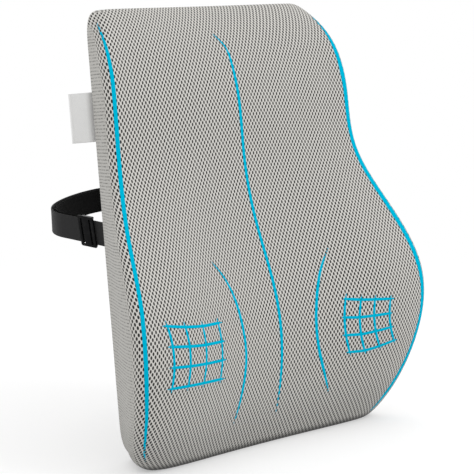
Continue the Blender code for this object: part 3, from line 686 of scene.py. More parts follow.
# Each side of the cage: its number of cells both ways, and the cage vertex at a place on it.
SIDES = {
    "front": (8, ROWS, lambda i, j: (i - 4, 0, j)),
    "back": (8, ROWS, lambda i, j: (4 - i, 3, j)),
    "left": (3, ROWS, lambda i, j: (-4, 3 - i, j)),
    "right": (3, ROWS, lambda i, j: (4, i, j)),
    "top": (8, 3, lambda i, j: (i - 4, j, ROWS)),
    "bottom": (8, 3, lambda i, j: (i - 4, 3 - j, 0)),
}
SIDE_SPACING = 32.0


def cushion_surface(steps):
    """Points of the smooth cushion surface, and for each side the grid of its point numbers."""
    bm = bmesh.new()
    layer = bm.loops.layers.uv.new("place")
    verts = {}
    for order, (columns, rows, key_at) in enumerate(SIDES.values()):
        for j in range(rows):
            for i in range(columns):
                corners = ((i, j), (i + 1, j), (i + 1, j + 1), (i, j + 1))
                ring = []
                for corner in corners:
                    key = key_at(*corner)
                    if key not in verts:
                        verts[key] = bm.verts.new(cage_point(*key))
                    ring.append(verts[key])
                face = bm.faces.new(ring)
                for loop, corner in zip(face.loops, corners):
                    loop[layer].uv = (corner[0] + SIDE_SPACING * order, corner[1])
    data = bpy.data.meshes.new("cage")
    bm.to_mesh(data)
    bm.free()
    cage = linked("cage", data)
    levels = int(math.log2(steps))
    modifier(cage, "SUBSURF", levels=levels, render_levels=levels, uv_smooth="NONE")
    fine = evaluated(cage).to_mesh()
    points = np.zeros(len(fine.vertices) * 3)
    fine.vertices.foreach_get("co", points)
    corner_points = np.zeros(len(fine.loops), int)
    fine.loops.foreach_get("vertex_index", corner_points)
    places = np.zeros(len(fine.loops) * 2)
    fine.uv_layers["place"].data.foreach_get("uv", places)
    places = places.reshape(-1, 2)
    grids = {}
    for order, (name, (columns, rows, _)) in enumerate(SIDES.items()):
        u = places[:, 0] - SIDE_SPACING * order
        mine = (u > -0.01) & (u < columns + 0.01)
        grid = np.zeros((rows * steps + 1, columns * steps + 1), int)
        i = np.rint(u[mine] * steps).astype(int)
        j = np.rint(places[mine, 1] * steps).astype(int)
        grid[j, i] = corner_points[mine]
        grids[name] = grid
    bpy.data.objects.remove(cage)
    return points.reshape(-1, 3), grids


def smooth_normals(points, faces):
    """Area-weighted normals at the points of a quad mesh."""
    p = points[faces]
    face_normals = np.cross(p[:, 2] - p[:, 0], p[:, 3] - p[:, 1])
    normals = np.zeros_like(points)
    for corner in range(4):
        np.add.at(normals, faces[:, corner], face_normals)
    return normals / np.maximum(np.linalg.norm(normals, axis=1), 1e-12)[:, None]


def keep_above_floor(points, clearance=0.0):
    """The cushion stands on its base, so its points are lifted to the floor or to a height over it."""
    c, s = math.cos(LEAN), math.sin(LEAN)
    height = -s * points[:, 1] + c * points[:, 2]
    sunk = np.minimum(height - clearance, 0.0)
    points[:, 1] += s * sunk
    points[:, 2] -= c * sunk
    return points


def arc_lengths(path, middle):
    """Distances along axis 0 of an array of points, from the given row."""
    steps = np.linalg.norm(np.diff(path, axis=0), axis=-1)
    total = np.concatenate([np.zeros((1,) + steps.shape[1:]), np.cumsum(steps, axis=0)])
    return total - total[middle]


def rounded_rectangle(points, half, bottom, top, radius):
    """Moves points of a rectangle so that its corners become round."""
    moved = points.copy()
    for sign_x in (1.0, -1.0):
        for sign_z, cz in ((1.0, top - radius), (-1.0, bottom + radius)):
            cx = sign_x * (half - radius)
            dx, dz = points[:, 0] - cx, points[:, 2] - cz
            inside = (dx * sign_x > 0.0) & (dz * sign_z > 0.0)
            reach = np.maximum(np.abs(dx), np.abs(dz))
            spread = np.maximum(np.hypot(dx, dz), 1e-9)
            moved[inside, 0] = cx + (dx * reach / spread)[inside]
            moved[inside, 2] = cz + (dz * reach / spread)[inside]
    return moved


# ---------------------------------------------------------------- cover and what it holds


def wrap_ring(grids):
    """Point numbers from the left rear edge over the front to the right rear edge, row by row."""
    return np.concatenate([grids["left"][:, :-1], grids["front"], grids["right"][:, 1:]], axis=1)


def cloth_places(points, ring, spine):
    """Cloth coordinates of the ring's points: distances from the spine and from the middle row.

    The rows near the top share one height and spread less, so that the holes stay whole round the
    upper corners. The side columns share the height of the column where the plain knit starts.
    """
    around = arc_lengths(points[ring].transpose(1, 0, 2), spine).T
    upwards = arc_lengths(points[ring], int(MIDDLE_ROW * CELL_STEPS))
    settled = int(CORNER_ROW * CELL_STEPS)
    inner = slice(spine - CORNER_COLUMNS * CELL_STEPS, spine + CORNER_COLUMNS * CELL_STEPS + 1)
    climb = (upwards[settled:, inner] - upwards[settled, inner]).mean(axis=1)
    upwards[settled:] = upwards[settled] + climb[:, None]
    spread = around.copy()
    around[settled:] = around[settled] + CORNER_DRIFT * (around[settled:] - around[settled])

    def past(side, column):
        """One column of the ring, and all columns beyond it."""
        at = spine + side * int(column * CELL_STEPS)
        return slice(at, at + 1), slice(0, at) if side < 0 else slice(at + 1, None)

    for side in (-1, 1):
        turn, beyond = past(side, EDGE_COLUMN)
        past_turn = spread[settled:, beyond] - spread[settled:, turn]
        around[settled:, beyond] = around[settled:, turn] + past_turn
        last, beyond = past(side, PLAIN_COLUMN)
        upwards[:, beyond] = upwards[:, last]
    return around, upwards


def side_band(ring, spine):
    """1 on the ring's points where the cover is its plain side band, and 0 on its front."""
    column = np.abs(np.arange(ring.shape[1]) - spine)[None, :] / CELL_STEPS
    row = np.arange(ring.shape[0])[:, None] / CELL_STEPS
    start = BAND_START + BAND_BEND * np.clip(row - BAND_BEND_ROW, 0.0, 3.0)
    sides = np.clip((column - start) / BAND_SOFTNESS, 0.0, 1.0)
    return sides * np.clip((BAND_TOP_ROW - row) / BAND_TOP_SOFTNESS, 0.0, 1.0)


def open_back(points, back):
    """Moves points of the back onto the opening's outline.

    Returns the numbers of those points in order, and which cells of the back stay.
    """
    rear = points[back]
    first = int(np.argmin(np.abs(rear[back.shape[0] // 2, :, 0] - OPENING_HALF_WIDTH)))
    last = back.shape[1] - 1 - first
    heights = rear[:, back.shape[1] // 2, 2]
    low, high = (int(np.argmin(np.abs(heights - edge))) for edge in (OPENING_BOTTOM, OPENING_TOP))
    loop = np.concatenate([back[low, first:last], back[low:high, last],
                           back[high, last:first:-1], back[high:low:-1, first]])
    across = OPENING_HALF_WIDTH * (1.0 - 2.0 * np.arange(last - first) / (last - first))
    climb = (OPENING_TOP - OPENING_BOTTOM) * np.arange(high - low) / (high - low)
    sides = ((across, OPENING_BOTTOM), (-OPENING_HALF_WIDTH, OPENING_BOTTOM + climb),
             (-across, OPENING_TOP), (OPENING_HALF_WIDTH, OPENING_TOP - climb))
    rim = points[loop]
    rim[:, [0, 2]] = np.concatenate([np.stack(np.broadcast_arrays(x, z), axis=1) for x, z in sides])
    rim = rounded_rectangle(rim, OPENING_HALF_WIDTH, OPENING_BOTTOM, OPENING_TOP, OPENING_RADIUS)
    rim[:, 1] = np.maximum(rim[:, 1], -OPENING_SINK)
    points[loop] = rim
    keep = np.ones((back.shape[0] - 1, back.shape[1] - 1), bool)
    keep[low:high, first:last] = False
    return loop, keep


def rolled_lips(rim):
    """Rings of points that roll the cover's rim into the opening."""
    centre = np.array([0.0, 0.0, (OPENING_BOTTOM + OPENING_TOP) / 2.0])
    after = np.roll(rim, -1, axis=0) - np.roll(rim, 1, axis=0)
    inward = np.stack([-after[:, 2], np.zeros(len(rim)), after[:, 0]], axis=1)
    inward /= np.linalg.norm(inward, axis=1)[:, None]
    inward *= np.sign(np.sum((centre - rim) * inward, axis=1))[:, None]
    return [rim + inward * a + np.array([0.0, -b, 0.0]) for a, b in LIP_ROLL]


def cover_skin(points, grids):
    """The cover: front, sides, top, base and back in one skin, with the zipped opening left free."""
    ring = wrap_ring(grids)
    spine = (ring.shape[1] - 1) // 2
    around, upwards = cloth_places(points, ring, spine)
    faces, uvs = [], []

    def add(grid, u, v, keep=slice(None)):
        faces.append(cell_corners(grid)[keep].reshape(-1, 4))
        uvs.append(cell_corners(np.stack([u, v], axis=-1))[keep].reshape(-1, 2))

    add(ring, around, upwards)
    left_end = grids["left"].shape[1] - 1
    front_columns = slice(left_end, left_end + grids["front"].shape[1])
    over = arc_lengths(points[grids["top"]], 0) + upwards[-1, front_columns]
    add(grids["top"], np.repeat(around[-1:, front_columns], over.shape[0], axis=0), over)
    base = points[grids["bottom"]]
    add(grids["bottom"], base[..., 0], base[..., 1])
    loop, keep = open_back(points, grids["back"])
    rear = points[grids["back"]]
    add(grids["back"], -rear[..., 0], rear[..., 2], keep)
    outer = loop
    for lip in rolled_lips(points[loop]):
        inner = np.arange(len(points), len(points) + len(lip))
        points = np.concatenate([points, lip])
        quads = np.stack([outer, inner, np.roll(inner, -1), np.roll(outer, -1)], axis=-1)
        flat = points[quads]
        faces.append(quads)
        uvs.append(np.stack([-flat[..., 0], flat[..., 2] + flat[..., 1]], axis=-1).reshape(-1, 2))
        outer = inner
    band = np.zeros(len(points))
    band[ring] = side_band(ring, spine)
    faces = np.concatenate(faces)
    used, renumbered = np.unique(faces, return_inverse=True)
    return points[used], renumbered.reshape(faces.shape), np.concatenate(uvs), band[used]


def build_cover():
    """The cover's skin. Returns its points round the front, and the skin as a surface to draw on."""
    finish = spacer_mesh("mesh_cover", COVER_THREAD)
    points, grids = cushion_surface(CELL_STEPS)
    points = keep_above_floor(points)
    around = points[wrap_ring(grids)]
    skin_points, faces, uvs, band = cover_skin(points, grids)
    skin = new_object("cover_skin", leaning_to_world(skin_points), faces, finish, uvs)
    set_point_values(skin, "side_band", band)
    belongs(skin, "mesh_front", "cover_front")
    return around, Skin(skin_points, faces, uvs)


def build_insides():
    """The foam block and its liner bag, inside the cover."""
    points, grids = cushion_surface(INSIDE_STEPS)
    faces = np.concatenate([cell_corners(grid).reshape(-1, 4) for grid in grids.values()])
    normals = smooth_normals(points, faces)
    pieces = (
        ("liner_bag", LINER_INSET, woven("liner_knit"), "liner", ("inner_liner_front", "inner_liner_back")),
        ("foam_block", FOAM_INSET, foam_finish("memory_foam"), "foam", ("foam_core",)),
    )
    for name, inset, finish, slot, nodes in pieces:
        moved = keep_above_floor(points - normals * inset, inset)
        flat = moved[faces]
        uvs = np.stack([flat[..., 0] + flat[..., 1], flat[..., 2]], axis=-1)
        belongs(new_object(name, leaning_to_world(moved), faces, finish, uvs), slot, *nodes)


def build_panels():
    """The two rear panels, whose edges roll into the seam and under the zipper's stitching."""
    finish = spacer_mesh("mesh_back", BACK_THREAD)
    half = OPENING_HALF_WIDTH - PANEL_GAP
    zip_edge = ZIP_HALF_SLOT - PANEL_UNDER_STITCHES
    spans = (
        ("back_panel_skin_lower", "back_panel_lower", OPENING_BOTTOM + PANEL_GAP, ZIP_HEIGHT - zip_edge),
        ("back_panel_skin_upper", "back_panel_upper", ZIP_HEIGHT + zip_edge, OPENING_TOP - PANEL_GAP),
    )
    for name, node, bottom, top in spans:
        rows = max(PANEL_MIN_ROWS, int((top - bottom) / PANEL_ROW_PITCH))
        x = half * np.sin(np.linspace(-1.0, 1.0, PANEL_COLUMNS) * PANEL_CROWDING) / math.sin(PANEL_CROWDING)
        z = bottom + (top - bottom) * (1.0 - np.cos(np.linspace(0.0, 1.0, rows) * math.pi)) / 2.0
        x, z = (values.ravel() for values in np.meshgrid(x, z))
        flat = np.stack([x, np.zeros(x.size), z], axis=1)
        # Only the corners away from the zipper are round, so the rectangle reaches past the zipper.
        far_bottom = bottom - 0.1 if bottom > ZIP_HEIGHT else bottom
        far_top = top if bottom > ZIP_HEIGHT else top + 0.1
        flat = rounded_rectangle(flat, half, far_bottom, far_top, OPENING_RADIUS - PANEL_GAP)
        to_edge = np.minimum(half - np.abs(x), np.minimum(z - bottom, top - z))
        edge = np.clip(to_edge / PANEL_ROLL, 0.0, 1.0)
        drop = 1.0 - np.sqrt(np.clip(1.0 - (1.0 - edge) ** 2, 0.0, 1.0))
        flat[:, 1] = -PANEL_DROP * drop + PANEL_CROWN * np.clip(to_edge / PANEL_CROWN_REACH, 0.0, 1.0)
        faces = np.array(grid_faces(rows, PANEL_COLUMNS))[:, ::-1]
        corner = flat[faces]
        uvs = np.stack([-corner[..., 0], corner[..., 2]], axis=-1)
        piece = new_object(name, leaning_to_world(flat), faces, finish, uvs)
        modifier(piece, "SOLIDIFY", thickness=PANEL_THICKNESS, offset=-1.0)
        belongs(piece, "mesh_back", node)


# ---------------------------------------------------------------- strap and adjuster


def webbing_outline():
    """The webbing's section: places across its width and through its thickness, thicker at its edges."""
    half, t = WEB_WIDTH / 2.0, WEB_THICKNESS / 2.0
    flat = np.linspace(-half + 0.002, half - 0.002, 9)
    right = [(half - 0.0009, -t * 1.12), (half - 0.0002, -t * 0.75), (half, 0.0), (half - 0.0002, t * 0.75),
             (half - 0.0009, t * 1.12)]
    left = [(-z, -away) for z, away in right]
    return left[1:] + [(z, -t) for z in flat] + right + [(z, t) for z in flat[::-1]] + left[:1]


def webbing_piece(name, path, finish, tilt=STRAP_TILT):
    """Webbing that follows a path in the strap's plane, its top edge leaning outwards near the cushion."""
    path, places = smooth_path(path, WEB_SPACING)
    right = to_the_right(unit_steps(path))
    outline = webbing_outline()
    behind = np.clip((path[:, 1] - TILT_START) / (LOOP_BOW - TILT_START), 0.0, 1.0)
    lean = np.abs(tilt * (1.0 - behind * behind * (3.0 - 2.0 * behind)))
    outwards = right * np.where(right[:, 0] * tilt > 0.0, -1.0, 1.0)[:, None]
    rings = []
    for k in range(len(path)):
        for z, away in outline:
            x, y = path[k] + right[k] * away + outwards[k] * z * lean[k]
            rings.append((x, y, z))
    faces = tube_faces(len(path), len(outline))
    uvs = tube_uvs(places, girth_places(outline))
    piece = new_object(name, strap_to_world(rings), faces, finish, uvs)
    fix_normals(piece)
    return piece


def cubic(p0, p1, p2, p3, steps):
    """A Bezier curve, without its first point."""
    t = np.linspace(0.0, 1.0, steps + 1)[1:, None]
    s = 1.0 - t
    return s ** 3 * p0 + 3.0 * s * s * t * p1 + 3.0 * s * t * t * p2 + t ** 3 * p3


def loop_path(start_at=0.0, shift=BUCKLE_SHIFT):
    """Centre line of a half of the strap, drawn on the left, from the seam to the buckle's bar."""
    bend = STRAP_START + AWAY * STRAIGHT_RUN
    last = np.array([-BUCKLE_BAR_X + min(shift, 0.0), LOOP_BOW + LAYER_PITCH / 2.0])
    straight = [STRAP_START + AWAY * s for s in np.linspace(start_at, STRAIGHT_RUN, 12)]
    control = last - np.array([LOOP_SOFTNESS[1], 0.0])
    parts = [straight, cubic(bend, bend + AWAY * LOOP_SOFTNESS[0], control, last, 48)]
    if shift > 0.0:
        parts.append([last + np.array([s, 0.0]) for s in np.linspace(0.0, shift, 8)[1:]])
    return np.concatenate(parts)


def shifted(path, distance):
    return path + to_the_right(unit_steps(path)) * distance


def bar_turn(x):
    """Half a turn of the webbing round a buckle's bar, from its outer layer to its inner one."""
    angles = np.radians(np.linspace(90.0, -90.0, 14))
    return np.array([x, LOOP_BOW]) + LAYER_PITCH / 2.0 * np.stack([np.cos(angles), np.sin(angles)], axis=1)


def strap_spot(x, y):
    return tuple(strap_to_world([(x, y, 0.0)])[0])


def build_strap():
    """Both halves of the strap. The left one turns back at the buckle and is folded at its end."""
    web = woven("webbing_black")
    turn = bar_turn(-BUCKLE_BAR_X + BUCKLE_SHIFT)
    left_path = np.concatenate([STRAP_TAIL, loop_path()[:-1], turn[:8]])
    belongs(webbing_piece("strap_left_web", left_path, web), "webbing", "strap_left")

    inner = shifted(loop_path(ADJUSTER_AT), LAYER_PITCH)[::-1]
    fold_centre = inner[-1] - OUTSIDE * FOLD_RADIUS
    angles = np.linspace(0.0, math.pi, 10)[1:, None]
    fold = fold_centre + FOLD_RADIUS * (OUTSIDE * np.cos(angles) - AWAY * np.sin(angles))
    stub = fold[-1] + AWAY * np.linspace(0.001, FOLD_STUB, 8)[:, None]
    return_path = np.concatenate([turn[7:], inner[1:], fold, stub])
    # Painted shade: the return layer wears a darker, duller copy of the webbing, for the strap's shaded inner
    # face.
    back = webbing_piece("strap_left_return", return_path, woven("webbing_shaded"))
    belongs(back, "webbing", body=None)
    start, end = (strap_spot(*(STRAP_START + AWAY * s)) for s in RETURN_BLEND)
    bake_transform(back)
    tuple(start)
    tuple(end)

    half = loop_path(shift=-BUCKLE_SHIFT)
    fold_back = shifted(half, LAYER_PITCH)[::-1][1:22]
    right_path = np.concatenate([STRAP_TAIL, half[:-1], bar_turn(-BUCKLE_BAR_X - BUCKLE_SHIFT), fold_back])
    right = webbing_piece("strap_right_web", right_path * np.array([-1.0, 1.0]), web, -STRAP_TILT)
    belongs(right, "webbing", "strap_right", body=None)
    start, end = (strap_spot(*place) for place in RIGHT_BLEND)
    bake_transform(right)
    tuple(start)
    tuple(end)


def rounded_loop(left, right, bottom, top, radius, steps=6):
    """A rectangle with round corners."""
    corners = ((right - radius, top - radius, 0.0), (left + radius, top - radius, 90.0),
               (left + radius, bottom + radius, 180.0), (right - radius, bottom + radius, 270.0))
    loop = []
    for x, y, start in corners:
        for step in range(steps + 1):
            angle = math.radians(start + 90.0 * step / steps)
            loop.append((x + radius * math.cos(angle), y + radius * math.sin(angle)))
    return loop


def plate(name, outline, holes, thickness, bevel, finish, to_world, resolution=2):
    """A flat moulding with rounded edges, from an outline and its holes."""
    curve = bpy.data.curves.new(name, "CURVE")
    curve.dimensions = "2D"
    curve.fill_mode = "BOTH"
    curve.extrude = thickness / 2.0 - bevel
    curve.bevel_depth = bevel
    curve.bevel_resolution = resolution
    curve.offset = -bevel
    for loop in [outline] + holes:
        spline = curve.splines.new("POLY")
        spline.points.add(len(loop) - 1)
        for point, (u, v) in zip(spline.points, loop):
            point.co = (u, v, 0.0, 1.0)
        spline.use_cyclic_u = True
    source = linked(name + "_outline", curve)
    data = bpy.data.meshes.new_from_object(evaluated(source))
    bpy.data.objects.remove(source)
    bm = bmesh.new()
    bm.from_mesh(data)
    bmesh.ops.remove_doubles(bm, verts=bm.verts, dist=0.00001)
    bm.to_mesh(data)
    bm.free()
    data.name = name
    points = np.zeros(len(data.vertices) * 3)
    data.vertices.foreach_get("co", points)
    data.vertices.foreach_set("co", to_world(points.reshape(-1, 3)).astype(np.float32).ravel())
    data.materials.clear()
    data.materials.append(finish)
    data.update()
    piece = linked(name, data)
    fix_normals(piece)
    data.polygons.foreach_set("use_smooth", [True] * len(data.polygons))
    data.set_sharp_from_angle(angle=math.radians(40.0))
    return piece


def build_adjuster(finish):
    """Tri-glide frame outside the webbing, with the inner bar that the folded webbing end goes round."""
    centre = STRAP_START + AWAY * ADJUSTER_AT

    def at_level(level):
        def to_world(points):
            depth = points[:, 2] + level - points[:, 1] * STRAP_TILT
            run = points[:, 0] + points[:, 1] * ADJUSTER_SKEW
            flat = np.outer(run, AWAY) + np.outer(depth, OUTSIDE) + centre
            return strap_to_world(np.stack([flat[:, 0], flat[:, 1], points[:, 1]], axis=1))
        return to_world

    half = ADJUSTER_HALF_HEIGHT
    slots = [rounded_loop(left, right, -SLOT_HALF_HEIGHT, SLOT_HALF_HEIGHT, 0.0006)
             for left, right in ((-SLOT_OUTSIDE, -SLOT_INSIDE), (SLOT_INSIDE, SLOT_OUTSIDE))]
    outline = rounded_loop(-ADJUSTER_HALF_WIDTH, ADJUSTER_HALF_WIDTH, -half, half, 0.0016)
    face = plate("strap_adjuster_frame", outline, slots, 0.0022, 0.0006, finish, at_level(-0.00225), 3)
    outline = rounded_loop(-BAR_HALF_WIDTH, BAR_HALF_WIDTH, BAR_SHORTER - half, half - BAR_SHORTER, 0.0006)
    pieces = [face, plate("strap_adjuster_bar", outline, [], 0.0018, 0.0005, finish, at_level(0.0034))]
    for index, sign in enumerate((1.0, -1.0)):
        low, high = sorted((sign * RAIL_FROM, sign * (half - RAIL_SHORTER)))
        rail = rounded_loop(-SLOT_OUTSIDE, SLOT_OUTSIDE, low, high, 0.0005)
        name = "strap_adjuster_rail_%d" % (index + 1)
        pieces.append(plate(name, rail, [], 0.0056, 0.0004, finish, at_level(0.0010)))
    for piece in pieces:
        nodes = ("strap_adjuster",) if piece is face else ()
        belongs(piece, "hardware", *nodes, body="adjuster_body")


def dress_node(name, finish, bevel=0.0, segments=2):
    """Gives a CAD node its material, and rounds its edges by a bevel."""
    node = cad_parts[name]
    node.data.materials.clear()
    node.data.materials.append(finish)
    if bevel:
        modifier(node, "BEVEL", width=bevel, segments=segments, limit_method="ANGLE",
                 angle_limit=math.radians(35.0))


# ---------------------------------------------------------------- zipper, label and stitches


def build_tapes():
    """The zipper's tapes, each with the rib that carries its teeth."""
    finish = woven("zip_tape")
    half = OPENING_HALF_WIDTH - TAPE_GAP
    outer = ZIP_HALF_SLOT - TAPE_GAP
    t = TAPE_HALF_THICKNESS
    section = ((0.0009, -t), (outer, -t), (outer + 0.0003, 0.0), (outer, t), (0.0014, t), (0.0009, 0.0009),
               (0.0005, 0.0005), (0.0004, 0.0))
    xs = np.linspace(-half, half, TAPE_RINGS)
    for sign, which in ((-1.0, "lower"), (1.0, "upper")):
        rings = [(x, -TAPE_SINK + b, ZIP_HEIGHT + sign * a) for x in xs for a, b in section]
        piece = new_object("zipper_tape_web_" + which, leaning_to_world(rings),
                           tube_faces(len(xs), len(section)), finish, tube_uvs(xs, girth_places(section)))
        fix_normals(piece)
        belongs(piece, "zip_tape", "zipper_tape_" + which)


def build_teeth():
    """Both rows of teeth, each half a pitch from the other."""
    finish = moulded("zip_coil", COIL_BLACK, 0.42)
    angles = [math.pi * (k + 0.5) / 4.0 for k in range(8)]
    for sign, which, phase in ((-1.0, "lower", 0.25), (1.0, "upper", 0.75)):
        points, faces = [], []
        for tooth in range(int(2.0 * CHAIN_HALF_LENGTH / TOOTH_PITCH)):
            x = -CHAIN_HALF_LENGTH + (tooth + phase) * TOOTH_PITCH
            faces += tube_faces(len(TOOTH_RINGS), len(angles), len(points))
            for reach, girth in TOOTH_RINGS:
                z = ZIP_HEIGHT + sign * (reach - TOOTH_OVERLAP)
                points += [(x + TOOTH_HALF_WIDTH * girth * math.cos(angle),
                            TOOTH_RISE + TOOTH_HALF_DEPTH * girth * math.sin(angle), z) for angle in angles]
        piece = new_object("zipper_coil_" + which, leaning_to_world(points), faces, finish)
        fix_normals(piece)
        belongs(piece, "zip_teeth", "zipper_teeth_" + which)


def build_label():
    """Folded woven label: sewn in the seam, bent round the cushion's corner, its outer fold a little open."""
    finish = woven("label_satin")
    out = np.array([-math.cos(LABEL_TURN), -math.sin(LABEL_TURN)])
    path = list(LABEL_TAIL)
    for s in np.linspace(0.001, LABEL_REACH, 24):
        path.append(LABEL_CORNER + out * s + np.array([0.0, LABEL_CURL * math.sin(s * 180.0)]))
    path, places = smooth_path(path, LABEL_SPACING)
    side = to_the_right(unit_steps(path))
    left_to_go = places[-1] - places
    swell = 0.00042 + 0.00035 * np.exp(-(left_to_go / 0.0022) ** 2)
    swell *= np.clip(left_to_go / 0.0005, 0.0, 1.0) ** 0.5 + 0.02
    swell = swell[:, None]
    loop = np.concatenate([path + side * swell, (path - side * swell)[::-1]])
    loop_places = np.concatenate([places, 2.0 * places[-1] - places[::-1]])
    loop_places = np.append(loop_places, loop_places[-1] + LABEL_SPACING)
    share = places / places[-1]
    fade = np.concatenate([share, share[::-1]])
    heights = np.linspace(LABEL_BOTTOM, LABEL_TOP, 40)
    points = []
    for z in heights:
        wave = LABEL_WAVE * math.sin((z - 0.318) * 110.0)
        points += [(x + wave * f, y + wave * f, z) for (x, y), f in zip(loop, fade)]
    uvs = [(v, u) for u, v in tube_uvs(heights, loop_places)]
    faces = tube_faces(len(heights), len(loop))
    piece = new_object("side_label", leaning_to_world(points), faces, finish, uvs)
    fix_normals(piece)
    belongs(piece, "label", "label_tag")


def stitch_row(places, ways, normal):
    """Points and faces of thread stitches: short arched threads laid along the given ways."""
    points, faces = [], []
    # Along a stitch: its place as a share of its length, and its height in thread radii.
    sections = ((-0.5, -0.6), (-0.36, 0.45), (-0.12, 0.95), (0.12, 0.95), (0.36, 0.45), (0.5, -0.6))
    angles = [math.pi * k / 3.0 for k in range(6)]
    for place, way in zip(places, ways):
        across = np.cross(normal, way)
        faces += tube_faces(len(sections), len(angles), len(points))
        for share, lift in sections:
            centre = place + way * share * STITCH_LENGTH + normal * lift * THREAD_RADIUS
            for angle in angles:
                offset = across * math.cos(angle) + normal * math.sin(angle)
                points.append(centre + THREAD_RADIUS * offset)
    return points, faces


def build_stitches():
    """Thread: round the opening's rim, and along both edges of the zipper."""
    finish = woven("thread_grey")
    half = OPENING_HALF_WIDTH + STITCH_MARGIN
    loop = rounded_loop(-half, half, OPENING_BOTTOM - STITCH_MARGIN, OPENING_TOP + STITCH_MARGIN,
                        OPENING_RADIUS + STITCH_MARGIN, 8)
    line = smooth_path(loop + loop[:1], STITCH_PITCH)[0][:-1]
    ahead = np.roll(line, -1, axis=0) - np.roll(line, 1, axis=0)
    ahead /= np.linalg.norm(ahead, axis=1)[:, None]
    places = [np.array([x, 0.00005, z]) for x, z in line]
    ways = [np.array([dx, 0.0, dz]) for dx, dz in ahead]
    for side in (-1.0, 1.0):
        z = ZIP_HEIGHT + side * (ZIP_HALF_SLOT + ZIP_STITCH_MARGIN)
        for x in np.arange(-ZIP_STITCH_REACH, ZIP_STITCH_REACH + 0.0001, STITCH_PITCH):
            places.append(np.array([x, -0.0002, z]))
            ways.append(np.array([1.0, 0.0, 0.0]))
    points, faces = stitch_row(places, ways, np.array([0.0, 1.0, 0.0]))
    corner_uvs = [(points[i][0] + points[i][1], points[i][2]) for face in faces for i in face]
    piece = new_object("seam_thread", leaning_to_world(points), faces, finish, corner_uvs)
    fix_normals(piece)
    belongs(piece, "mesh_back")


# ---------------------------------------------------------------- contour lines


def knot_curve(knots):
    """A smooth curve through knots, by Catmull-Rom spans."""
    p = np.asarray(knots, float)
    p = np.concatenate([[2.0 * p[0] - p[1]], p, [2.0 * p[-1] - p[-2]]])
    out = []
    for k in range(1, len(p) - 2):
        a, b, c, d = p[k - 1:k + 3]
        for t in np.arange(KNOT_STEPS) / KNOT_STEPS:
            out.append(0.5 * (2.0 * b + (c - a) * t + (2.0 * a - 5.0 * b + 4.0 * c - d) * t * t
                              + (3.0 * b - a - 3.0 * c + d) * t ** 3))
    out.append(p[-2])
    return np.array(out)


class Skin:
    """The cover's surface, asked for points, normals and cloth coordinates."""

    def __init__(self, points, faces, uvs):
        self.points, self.faces, self.uvs = points, faces, uvs.reshape(-1, 4, 2)
        self.tree = BVHTree.FromPolygons(points.tolist(), faces.tolist())

    def front_line(self, pairs):
        """The points of the front that lie behind pairs of X and Z."""
        ahead = Vector((0.0, 1.0, 0.0))
        return [tuple(self.tree.ray_cast(Vector((x, -0.4, z)), ahead)[0]) for x, z in pairs]

    def cloth(self, place, face):
        """Cloth coordinates of a point on a quad, blended from its corners."""
        corners = self.points[self.faces[face]]
        weights = 1.0 / np.maximum(np.linalg.norm(corners - np.array(place), axis=1), 1e-6) ** 2
        weights /= weights.sum()
        return weights @ self.uvs[face]


class Film:
    """Strokes of contour film laid on the skin, gathered into one piece."""

    def __init__(self, skin):
        self.skin = skin
        self.points, self.faces, self.covers, self.uvs = [], [], [], []

    def add_stroke(self, centre_line, width, head, tail, end_share):
        """One stroke along points, narrowing to a share of its width over its head and its tail."""
        nearest = self.skin.tree.find_nearest
        line, places = smooth_path([tuple(nearest(Vector(p))[0]) for p in centre_line], FILM_SPACING)
        along = unit_steps(line)
        self.faces += tube_faces(len(line), len(FILM_SECTION), len(self.points))
        for k, spot in enumerate(line):
            across = np.cross(along[k], np.array(nearest(Vector(spot))[1]))
            across /= np.linalg.norm(across)
            grown = [min(1.0, places[k] / head) ** 0.7, min(1.0, (places[-1] - places[k]) / tail) ** 0.7]
            taper = math.prod(end_share + (1.0 - end_share) * g for g in grown)
            fade = math.prod(min(1.0, 0.12 + 1.3 * g) for g in grown)
            for offset, rise, cover in FILM_SECTION:
                guess = spot + across * offset * 0.5 * width * taper
                place, normal, face, _ = nearest(Vector(guess))
                self.points.append(np.array(place) + np.array(normal) * rise)
                self.covers.append(fade * cover)
                self.uvs.append(self.skin.cloth(place, face))

    def build(self, name, node, finish):
        corner_uvs = [self.uvs[i] for face in self.faces for i in face]
        piece = new_object(name, leaning_to_world(self.points), self.faces, finish, corner_uvs)
        set_point_values(piece, "film_cover", self.covers)
        fix_normals(piece)
        belongs(piece, "contour_film", node)


def edge_line(around, column, last, turn, hip, foot, knee):
    """Points down one column of the surface, which leaves it by columns near its ends and at the hips."""
    spine = (around.shape[1] - 1) // 2
    line = []
    for row in np.linspace(EDGE_TOP_ROW, last, 90):
        bend = turn * max(0.0, row - EDGE_BEND_ROW) ** 2
        inwards = hip * math.exp(-((row - HIP_ROW) / HIP_REACH) ** 2)
        outwards = foot * max(0.0, knee - row)
        at = spine + math.copysign(abs(column) + bend + outwards - inwards, column) * CELL_STEPS
        i, j = int(at), int(row * CELL_STEPS)
        s, t = at - i, row * CELL_STEPS - j
        low = around[j, i] * (1.0 - s) + around[j, i + 1] * s
        high = around[j + 1, i] * (1.0 - s) + around[j + 1, i + 1] * s
        line.append(low * (1.0 - t) + high * t)
    return line


